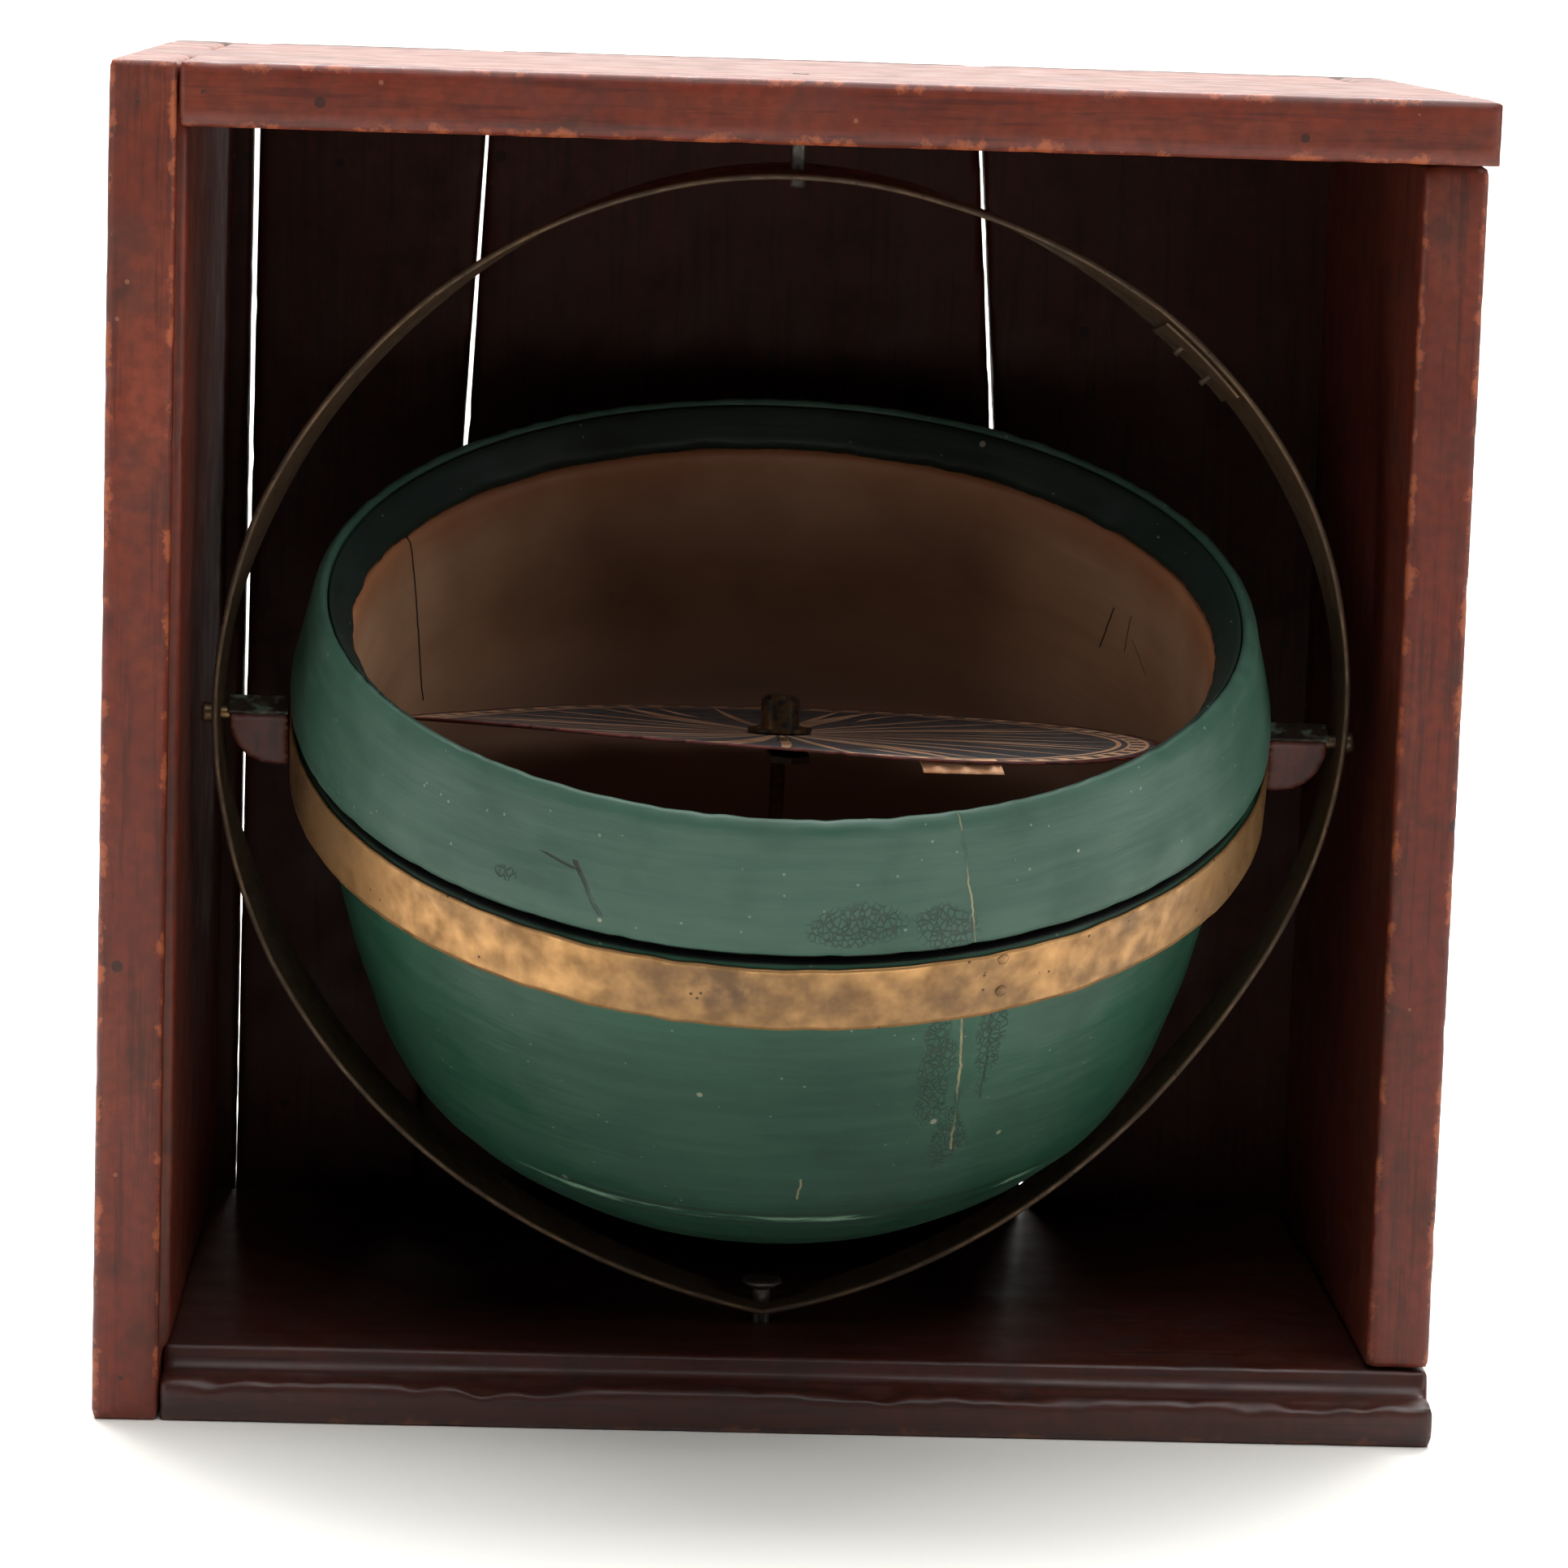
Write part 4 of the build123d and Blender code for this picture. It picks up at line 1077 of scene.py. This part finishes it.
paint = np.empty(len(mesh.vertices))
mesh.attributes["paint"].data.foreach_get("value", paint)
outer = paint < 0.5
side = outer & (height < -10.8) & (radius > 30)
wave = ring_noise(angle, height, 2.2, 0.03, 5.0) * 0.35 + ring_noise(angle, height, 16.0, 0.12, 2.0) * 0.12
radius = radius + np.where(side, wave - 0.3, 0.0)
middle = np.interp(height, SPLIT_HEIGHTS, SPLIT_ANGLES)
split = side & (height > SPLIT_HEIGHTS[0]) & (np.abs(angle - middle) < 0.7)
radius = radius - np.where(split, 0.35, 0.0)
chipped = side & (np.abs(height + 63.8) < 1.0) & (np.abs(angle - 4) < 42)
radius = radius - np.where(chipped, np.maximum(0, ring_noise(angle, height, 30.0, 0.2, 9.0)) * 0.8, 0.0)
from_bowl(mesh, angle, radius, height)
measure_crown(mesh)
mesh.materials.append(BOWL_PAINT)
mesh.materials.append(LINING)
inner_face = [all(paint[v] > 0.5 for v in face.vertices) for face in mesh.polygons]
mesh.polygons.foreach_set("material_index", np.array(inner_face, dtype=np.int32))
finish_piece("turned_bowl", mesh, "bowl", [], ["bowl_body"])

# %% [markdown]
# ## The collar and the putty
# The collar is a separate turned ring round the neck, flared towards its foot, and the split in it
# runs on up from the one in the bowl. Putty fills the step inside it. The putty was smoothed with a
# thumb and painted by hand, so its lower edge wanders: soft noise moves it in and out.

# %% Turn and age the collar
mesh = turn_form("turned_collar", (
    (85.8, 3.5, 0), (92.2, 3.4, 0), (93.0, 4.2, 0), (93.0, 9.4, 0),
    (88.8, 27.4, 0), (87.8, 28.7, 0), (85.8, 28.8, 0),
), 440, COLLAR_PAINT, spacing=1.1, soften=2)
angle, radius, height = in_bowl(mesh)
outer = radius > 87.0
wave = ring_noise(angle, height, 2.0, 0.02, 3.0) * 0.3 + ring_noise(angle, height, 14.0, 0.15, 7.0) * 0.14
radius = radius + np.where(outer, wave - 0.28, 0.0)
middle = np.interp(height, (3.4, 28.5), (20.6, 18.9))
radius = radius - np.where(outer & (np.abs(angle - middle) < 0.5), 0.25, 0.0)
lip = height > 27.0
height = height + np.where(lip, ring_noise(angle, height, 24.0, 0.0, 4.0) * 0.35 - 0.25, 0.0)
foot = height < 4.4
height = height + np.where(foot, np.maximum(0, ring_noise(angle, height, 20.0, 0.0, 8.0)) * 0.5, 0.0)
from_bowl(mesh, angle, radius, height)
measure_crown(mesh)
finish_piece("turned_collar", mesh, "bowl", [COLLAR_PAINT], ["collar_ring"])

# %% Turn and smear the putty
mesh = turn_form("putty_fillet", (
    (80.7, 20.9, 0), (82.4, 18.9, 0), (85.6, 18.9, 0), (85.6, 28.1, 0), (84.2, 26.6, 0), (81.6, 22.4, 0),
), 360, PUTTY_PAINT, spacing=0.9, soften=2)
angle, radius, height = in_bowl(mesh)
inner = np.clip((84.6 - radius) / 3.0, 0, 1)
wander = ring_noise(angle, height, 9.0, 0.0, 1.0) * 0.9 + ring_noise(angle, height, 30.0, 0.05, 6.0) * 0.45
radius = radius + inner * wander * 0.6
height = height + inner * wander * 0.5
from_bowl(mesh, angle, radius, height)
measure_crown(mesh)
finish_piece("putty_fillet", mesh, "bowl", [PUTTY_PAINT], ["putty_bead"])

# %% [markdown]
# ## The brass hoop
# A strip of brass is nailed round the shoulder. It was cut with shears and has taken dents, so its
# edges wave a little and its face is not quite round. It sits a touch lower at the front.

# %% Bend the hoop
HOOP_TILT = math.radians(0.4)
mesh = turn_form("brass_hoop", (
    (92.3, -10.1, 0), (92.9, -10.1, 0), (92.9, 2.1, 0), (92.3, 2.1, 0),
), 420, HOOP_METAL, spacing=0.9, soften=0, lean=BOWL_LEAN + HOOP_TILT)
angle, radius, height = in_bowl(mesh)
wave = ring_noise(angle, height, 10.0, 0.08, 2.5) * 0.12
ripple = ring_noise(angle, height, 36.0, 0.3, 6.5) * 0.06
radius = radius - 0.05 + wave + ripple
height = height + ring_noise(angle, np.zeros(len(angle)), 18.0, 0.0, 5.5) * 0.25
from_bowl(mesh, angle, radius, height)
measure_crown(mesh, 4)
finish_piece("brass_hoop", mesh, "bowl", [HOOP_METAL], ["brass_band"])

# %% [markdown]
# ## The ring
# The ring is one strip of brass, bent by hand until the bowl fits, so it is neither round nor flat.
# It follows a path, which is the job for Geometry Nodes: a curve carries a tilt at each point, and
# the strip's section is swept along it. The path is read from the frame's own ring, so the strip
# stays where the pivots need it. It twists most where nothing turns close to it.

# %% The strip, as a Geometry Nodes tree
strip, start = new_tree(
    "bent_strip", ("Path", "Geometry"), ("Width", "Float"), ("Thickness", "Float"), ("Middle", "Vector")
)
curve = add(strip, "GeometryNodeMeshToCurve", {"Mesh": start["Path"]}).outputs[0]
upward = add(strip, "GeometryNodeSetCurveNormal", {"Curve": curve}, mode="Z_UP").outputs[0]
twist = named_value(strip, "twist", "FLOAT")
tilted = add(strip, "GeometryNodeSetCurveTilt", {"Curve": upward, "Tilt": twist}).outputs[0]
section = add(strip, "GeometryNodeCurvePrimitiveQuadrilateral", {
    "Width": start["Thickness"], "Height": start["Width"],
}).outputs[0]
rounded = add(strip, "GeometryNodeFilletCurve", {
    "Curve": section, "Radius": 0.45 * MM, "Count": 2, "Limit Radius": True,
}, mode="POLY").outputs[0]
swept = add(strip, "GeometryNodeCurveToMesh", {
    "Curve": tilted, "Profile Curve": rounded, "Fill Caps": True,
}).outputs[0]
stood = add(strip, "GeometryNodeTransform", {
    "Geometry": swept, "Translation": start["Middle"], "Rotation": (math.pi / 2, 0, 0),
}).outputs[0]
end_tree(strip, start, stood)

# %% Read the ring's path from the frame
ring_points = points_of(frame["nodes"]["gimbal_ring"].data) - np.array(swing_point)
ring_low, ring_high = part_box("gimbal_ring")
ring_angle = np.degrees(np.arctan2(ring_points[:, 2], ring_points[:, 0]))
ring_reach = np.hypot(ring_points[:, 0], ring_points[:, 2])
STRIP_THICKNESS = 1.2 * MM
BIN = 4.0
bearings, reaches = [], []
for start_angle in np.arange(-90, 270, BIN):
    turned = (ring_angle - start_angle + BIN / 2) % 360 < BIN
    if turned.any():
        far = np.argmax(np.where(turned, ring_reach, 0))
        bearings.append((ring_angle[far] + 90) % 360 - 90)
        reaches.append(ring_reach[far])
order = np.argsort(bearings)
bearings, reaches = np.array(bearings)[order], np.array(reaches)[order]
print("ring path from", len(bearings), "places, radius in mm", (reaches / MM).round(1).min(), "to",
      (reaches / MM).round(1).max())

TWIST_AT = (-90, -60, -30, -12, 0, 12, 26, 50, 75, 90, 105, 130, 158, 170, 180, 190, 206, 235, 258, 270)
TWIST_BY = (0, 4, 5, 3, 3, 4, 12, 13, -4, -8, -4, 10, 12, 4, 3, 4, 14, 12, 4, 0)


def ring_path(low, high, count, inset, closed):
    """A mesh polyline along the strip's middle, with its twist in radians at each point."""
    angles = np.linspace(low, high, count, endpoint=not closed)
    radii = np.interp(angles, bearings, reaches, period=360) - STRIP_THICKNESS / 2 - inset
    turned = np.radians(angles)
    path = bpy.data.meshes.new("path")
    edges = [(k, k + 1) for k in range(count - 1)] + ([(count - 1, 0)] if closed else [])
    path.from_pydata([(r * math.cos(a), r * math.sin(a), 0.0) for r, a in zip(radii, turned)], edges, [])
    twist = path.attributes.new("twist", "FLOAT", "POINT")
    twist.data.foreach_set("value", np.radians(np.interp(angles, TWIST_AT, TWIST_BY)).astype(np.float32))
    return path


strip_middle = Vector((swing_point.x, (ring_low.y + ring_high.y) / 2, swing_point.z))
strip_width = ring_high.y - ring_low.y


def bend_strip(name, path, width, thickness, node):
    mesh = run_tree(strip, path, Width=width, Thickness=thickness, Middle=strip_middle, Finish=RING_METAL)
    face_outwards(mesh)
    mesh.name = name
    mesh.materials.clear()
    measure_crown(mesh, 3)
    finish_piece(name, mesh, "ring", [RING_METAL], [node])


whole_way = ring_path(-90, 270, 360, 0.0, True)
bend_strip("bent_ring", whole_way, strip_width - 0.2 * MM, STRIP_THICKNESS, "gimbal_ring")
lapped_part = ring_path(38.0, 48.5, 24, 1.1 * MM, False)
bend_strip("bent_lap", lapped_part, strip_width * 0.86, 0.9 * MM, "ring_lap")

# %% [markdown]
# ## Nails and rivets
# Nails repeat, so they are instances: one hammered head and shank, placed on points that carry a
# direction. Each is turned by a random amount with a fixed seed, because no two hammer blows land
# alike. The heads are realised into one mesh for each group, as the frame has them.

# %% Heads on points, as a Geometry Nodes tree
heads, start = new_tree(
    "heads_on_points",
    ("Points", "Geometry"), ("Radius", "Float"), ("Height", "Float"), ("Shank", "Float"), ("Seed", "Int"),
)
dome = add(heads, "GeometryNodeMeshUVSphere", {
    "Segments": 14, "Rings": 8, "Radius": start["Radius"],
}).outputs["Mesh"]
squeeze = vector_of(heads, X=1.0, Y=1.0, Z=maths(heads, "DIVIDE", start["Height"], start["Radius"]))
flat_dome = add(heads, "GeometryNodeTransform", {"Geometry": dome, "Scale": squeeze}).outputs[0]
spot = add(heads, "GeometryNodeInputPosition").outputs[0]
dent = cloud_noise(heads, spot, 900.0, Detail=1.0)
inwards = times(heads, minus(heads, dent, 0.5), 0.0004)
push = vector_of(heads, X=inwards, Y=inwards, Z=inwards)
dented = add(heads, "GeometryNodeSetPosition", {"Geometry": flat_dome, "Offset": push}).outputs[0]
rod = add(heads, "GeometryNodeMeshCylinder", {
    "Vertices": 10, "Radius": times(heads, start["Radius"], 0.4), "Depth": start["Shank"],
}).outputs["Mesh"]
sunk = vector_of(heads, Z=times(heads, start["Shank"], -0.5))
low_rod = add(heads, "GeometryNodeTransform", {"Geometry": rod, "Translation": sunk}).outputs[0]
joined = heads.nodes.new("GeometryNodeJoinGeometry")
heads.links.new(dented, joined.inputs[0])
heads.links.new(low_rod, joined.inputs[0])
facing = named_value(heads, "facing", "FLOAT_VECTOR")
aimed = add(heads, "FunctionNodeAlignRotationToVector", {"Vector": facing}, axis="Z").outputs[0]
random_turn = add(heads, "FunctionNodeRandomValue", {3: 6.28, "Seed": start["Seed"]}, data_type="FLOAT")
spin = vector_of(heads, Z=random_turn.outputs[1])
both = {"Rotation": aimed, "Rotate By": spin}
spun = add(heads, "FunctionNodeRotateRotation", both, rotation_space="LOCAL").outputs[0]
cloud = add(heads, "GeometryNodeMeshToPoints", {"Mesh": start["Points"]}).outputs[0]
placed = add(heads, "GeometryNodeInstanceOnPoints", {
    "Points": cloud, "Instance": joined.outputs[0], "Rotation": spun,
}).outputs[0]
end_tree(heads, start, placed)


# %% Place each group of nails and rivets
def separate_boxes(node):
    """The middle and the low and high corner of each separate solid in a CAD node."""
    shape = bmesh.new()
    shape.from_mesh(frame["nodes"][node].data)
    bmesh.ops.remove_doubles(shape, verts=shape.verts, dist=1e-6)
    shape.verts.ensure_lookup_table()
    seen, boxes = set(), []
    for vert in shape.verts:
        if vert.index in seen:
            continue
        island, todo = [], [vert]
        seen.add(vert.index)
        while todo:
            current = todo.pop()
            island.append(current.co.copy())
            for edge in current.link_edges:
                other = edge.other_vert(current)
                if other.index not in seen:
                    seen.add(other.index)
                    todo.append(other)
        island = np.array(island)
        boxes.append((island.mean(0), island.min(0), island.max(0)))
    shape.free()
    return boxes


def put_heads(name, node, body, finish, seed, sizes, spots, facings):
    """One mesh of heads. sizes holds the head's radius, its rise and the shank's length, in mm."""
    source = bpy.data.meshes.new("spots")
    source.from_pydata([tuple(spot) for spot in spots], [], [])
    attribute = source.attributes.new("facing", "FLOAT_VECTOR", "POINT")
    attribute.data.foreach_set("vector", np.array(facings, dtype=np.float32).ravel())
    radius, rise, shank = (size * MM for size in sizes)
    mesh = run_tree(heads, source, Radius=radius, Height=rise, Shank=shank, Seed=seed, Finish=finish)
    face_outwards(mesh)
    mesh.name = name
    mesh.materials.clear()
    finish_piece(name, mesh, body, [finish], [node])


found = separate_boxes("back_nails")
spots = [((lo[0] + hi[0]) / 2, hi[1] - 0.75 * MM, (lo[2] + hi[2]) / 2) for _, lo, hi in found]
put_heads("hammered_back_nails", "back_nails", "box", IRON, 3, (2.2, 0.7, 14),
          spots, [(0, 1, 0)] * len(spots))
found = separate_boxes("front_nails")
spots = [((lo[0] + hi[0]) / 2, lo[1] + 0.45 * MM, (lo[2] + hi[2]) / 2) for _, lo, hi in found]
put_heads("hammered_front_nails", "front_nails", "box", IRON, 5, (1.2, 0.35, 7),
          spots, [(0, -1, 0)] * len(spots))
lo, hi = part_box("side_nail")
put_heads("hammered_side_nail", "side_nail", "box", IRON, 7, (1.8, 0.6, 14),
          [(lo.x + 0.7 * MM, (lo.y + hi.y) / 2, (lo.z + hi.z) / 2)], [(-1, 0, 0)])
middles = [Vector(middle) for middle, _, _ in separate_boxes("lap_rivets")]
facings = [(middle - swing_point) * Vector((1, 0, 1)) for middle in middles]
facings = [facing.normalized() for facing in facings]
spots = [middle + facing * 1.9 * MM for middle, facing in zip(middles, facings)]
put_heads("lap_rivet_heads", "lap_rivets", "ring", RING_METAL, 9, (1.5, 0.6, 4.6),
          spots, facings)
inverse = bowl_axes.inverted()
spots, facings = [], []
for middle, _, _ in separate_boxes("band_rivets"):
    local = inverse @ Vector(middle)
    outward = Vector((local.x, local.y, 0)).normalized()
    spots.append(bowl_axes @ (outward * 92.85 * MM + Vector((0, 0, local.z))))
    facings.append(bowl_axes.to_3x3() @ outward)
put_heads("hoop_rivet_heads", "band_rivets", "bowl", HOOP_METAL, 11, (1.1, 0.4, 4.6),
          spots, facings)

# %% [markdown]
# ## The card
# The card is printed paper on stiff backing. Its rim has frayed, a strip of the print has torn loose
# at the front and hangs down, and the disc has warped by a fraction of a millimetre. It is built as
# rings and spokes, so the rim can be torn by noise, and then given its thickness.

# %% Cut, warp and tear the card
card_low, card_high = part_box("card_disc")
print("CAD card in mm:", [round((b - a) / MM, 1) for a, b in zip(card_low, card_high)])
CARD_RADIUS, CARD_HOLE, CARD_THICKNESS = 72.6 * MM, 3.1 * MM, 0.6 * MM
CARD_TOP = -2.0 * MM + CARD_THICKNESS / 2
TEAR_MIDDLE, TEAR_HALF = 25.4, 6.6
CURL_BEARING, CURL_RISE = -40.0, 4.2 * MM
spokes, rings = 540, 56
points, faces = [], []
for ring in range(rings + 1):
    share = ring / rings
    for spoke in range(spokes):
        turned = 2 * math.pi * spoke / spokes
        east, north = math.sin(turned), math.cos(turned)
        broad = noise.noise(Vector((east * 22, north * 22, 3.0)))
        fine = noise.noise(Vector((east * 70, north * 70, 8.0)))
        bite = max(0.0, broad + 0.5 * fine - 0.05) * 2.8 * MM * share**14
        reach = CARD_HOLE + (CARD_RADIUS - 0.1 * MM - CARD_HOLE) * share - bite
        x, y = reach * east, reach * north
        warp = noise.noise(Vector((x * 22, y * 22, 5.0))) * 0.7 * MM * share
        facing = math.cos(math.atan2(x, -y) - math.radians(CURL_BEARING))
        curl = CURL_RISE * max(0.0, facing) ** 2 * share**2
        points.append((x, y, CARD_TOP - 0.35 * MM + min(0.3 * MM, warp) + curl))
for ring in range(rings):
    for spoke in range(spokes):
        following = (spoke + 1) % spokes
        low, high = ring * spokes, (ring + 1) * spokes
        faces.append((low + spoke, low + following, high + following, high + spoke))
mesh = bpy.data.meshes.new("card_sheet")
mesh.from_pydata([tuple(card_axes @ Vector(point)) for point in points], [], faces)
face_outwards(mesh)
if mesh.polygons[0].normal.dot(card_normal) < 0:
    mesh.flip_normals()
mesh.materials.append(CARD_PRINT)
mesh.materials.append(CARD_BACKING)
mesh = apply_modifiers(mesh, ("SOLIDIFY", {
    "thickness": 0.5 * MM, "offset": -1.0, "use_even_offset": False,
    "material_offset": 1, "material_offset_rim": 1,
}))
mesh.name = "frayed_card"
finish_piece("frayed_card", mesh, "card", [], ["card_disc"])

# %% The torn strip of print
points, faces, columns, rows = [], [], 26, 7
for column in range(columns + 1):
    share = column / columns
    turned = math.radians(TEAR_MIDDLE + TEAR_HALF * (2 * share - 1))
    width = 3.4 * MM + 0.7 * MM * noise.noise(Vector((share * 7, 2.0, 0)))
    for row in range(rows + 1):
        down = row / rows
        reach = CARD_RADIUS - 3.6 * MM + width * (1.0 - 0.1 * down * down) * down
        sink = (0.3 + 2.2 * down * down + 0.6 * down * share) * MM
        height = CARD_TOP + 0.45 * MM - sink * 0.9
        points.append((reach * math.sin(turned), -reach * math.cos(turned), height))
for column in range(columns):
    for row in range(rows):
        first = column * (rows + 1) + row
        faces.append((first, first + rows + 1, first + rows + 2, first + 1))
mesh = bpy.data.meshes.new("torn_strip")
mesh.from_pydata([tuple(card_axes @ Vector(point)) for point in points], [], faces)
TORN_PAPER, tree, shader = start_finish("torn_paper")
fibre = blotches(tree, object_place(tree), 500.0, 0.4, 0.65)
colour = mixed(tree, fibre["Mask"], tint(238, 186, 142), tint(212, 150, 108))
dress(tree, shader, colour, fibre["Noise"], 0.6, 0.85)
relief(tree, shader, fibre["Noise"], 0.3, 0.0002)
mesh = apply_modifiers(mesh, ("SOLIDIFY", {"thickness": 0.15 * MM, "offset": 0.0}))
mesh.name = "torn_strip"
finish_piece("torn_strip", mesh, "card", [TORN_PAPER])

# %% [markdown]
# ## Pieces that keep their CAD shape
# Pins, screws, the cap, the needle, the post and the ballast were machined or cast, and the frame
# already has their true shape. They only need their finish, which goes in the mesh's own slots.

# %% Finish the kept pieces
KEPT = {
    "upper_pivot_pin": STEEL, "lower_pivot_screw": STEEL,
    "left_trunnion_pin": PIVOT_METAL, "right_trunnion_pin": PIVOT_METAL,
    "pivot_post": PIVOT_METAL, "pivot_point": STEEL, "ballast_weight": CAST_IRON,
    "card_cap": CAP_METAL, "cap_jewel": JEWEL, "compass_needle": STEEL, "needle_rivets": PIVOT_METAL,
}
for node, finish in KEPT.items():
    kept = frame["nodes"][node]
    kept.data.materials.clear()
    kept.data.materials.append(finish)
print("kept", len(KEPT), "CAD pieces")

# %% [markdown]
# ## Floor, backdrop and light
# The box stands on a pale sweep that curves up behind it, with no seam to see. Two soft boxes stand
# wide to the left and right, so the box's own walls shade its inside, and a strong one hangs above
# and behind, which is what whitens the varnished top. A high one in front, a little to the right,
# keeps the bowl readable, and one straight overhead lights the floor.

# %% Sweep
SWEEP_HALF, SWEEP_FRONT, SWEEP_BACK, SWEEP_BEND, SWEEP_TOP, BEND_PARTS = 4.0, -2.4, 2.2, 0.9, 3.2, 16
outline = [(SWEEP_FRONT, 0.0), (0.0, 0.0), (SWEEP_BACK, 0.0)]
for part in range(1, BEND_PARTS + 1):
    bend = math.radians(90 * part / BEND_PARTS)
    outline.append((SWEEP_BACK + SWEEP_BEND * math.sin(bend), SWEEP_BEND * (1 - math.cos(bend))))
outline.append((SWEEP_BACK + SWEEP_BEND, SWEEP_TOP))
points = [(x, y, z) for y, z in outline for x in (-SWEEP_HALF, SWEEP_HALF)]
faces = [(2 * k, 2 * k + 1, 2 * k + 3, 2 * k + 2) for k in range(len(outline) - 1)]
sweep_mesh = bpy.data.meshes.new("sweep")
sweep_mesh.from_pydata(points, [], faces)
sweep_mesh.shade_smooth()
sweep_material, tree, shader = start_finish("sweep_paper", Roughness=0.7)
faint = cloud_noise(tree, object_place(tree), 3.0)
colour = mixed(tree, faint, tint(243, 240, 234), tint(247, 245, 240))
tree.links.new(colour, shader.inputs["Base Color"])
sweep_mesh.materials.append(sweep_material)
sweep = bpy.data.objects.new("sweep", sweep_mesh)
bpy.context.scene.collection.objects.link(sweep)
sweep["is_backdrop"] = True


# %% Lights
def soft_box(name, place, aim, width, height, power):
    data = bpy.data.lights.new(name, "AREA")
    data.shape, data.size, data.size_y, data.energy = "RECTANGLE", width, height, power
    light = bpy.data.objects.new(name, data)
    light.location = place
    light.rotation_mode = "QUATERNION"
    light.rotation_quaternion = (Vector(aim) - Vector(place)).to_track_quat("-Z", "Y")
    bpy.context.scene.collection.objects.link(light)


soft_box("left_box", (-1.3, -0.5, 0.5), (0, -0.05, 0.13), 0.6, 0.8, 3.4)
soft_box("right_box", (1.3, -0.5, 0.5), (0, -0.05, 0.13), 0.6, 0.8, 4.2)
soft_box("front_top_box", (0.28, -0.75, 1.2), (0, -0.05, 0.1), 1.0, 0.5, 6.6)
soft_box("overhead_box", (0.0, -0.35, 1.6), (0, -0.35, 0.0), 1.6, 0.7, 8)
soft_box("top_box", (0.0, 0.55, 1.5), (0, 0.2, 0.0), 1.6, 1.2, 46)
soft_box("sweep_box", (0.0, 1.6, 2.2), (0, 2.2, 0.2), 3.0, 1.0, 120)

world = bpy.data.worlds.new("studio")
bpy.context.scene.world = world
world.use_nodes = True
tree = world.node_tree
tree.nodes.clear()
seen = add(tree, "ShaderNodeLightPath").outputs["Is Camera Ray"]
level = step(tree, seen, 0.0, 1.0, 0.02, 1.0)
sky = add(tree, "ShaderNodeBackground", {"Color": (1.0, 0.99, 0.97, 1.0), "Strength": level})
end = add(tree, "ShaderNodeOutputWorld")
tree.links.new(sky.outputs[0], end.inputs["Surface"])
bpy.context.scene.view_settings.view_transform = "Standard"

# %% Write the sizes and finish
low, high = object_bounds()
print("visual box in mm:", [round((b - a) / MM, 1) for a, b in zip(low, high)])
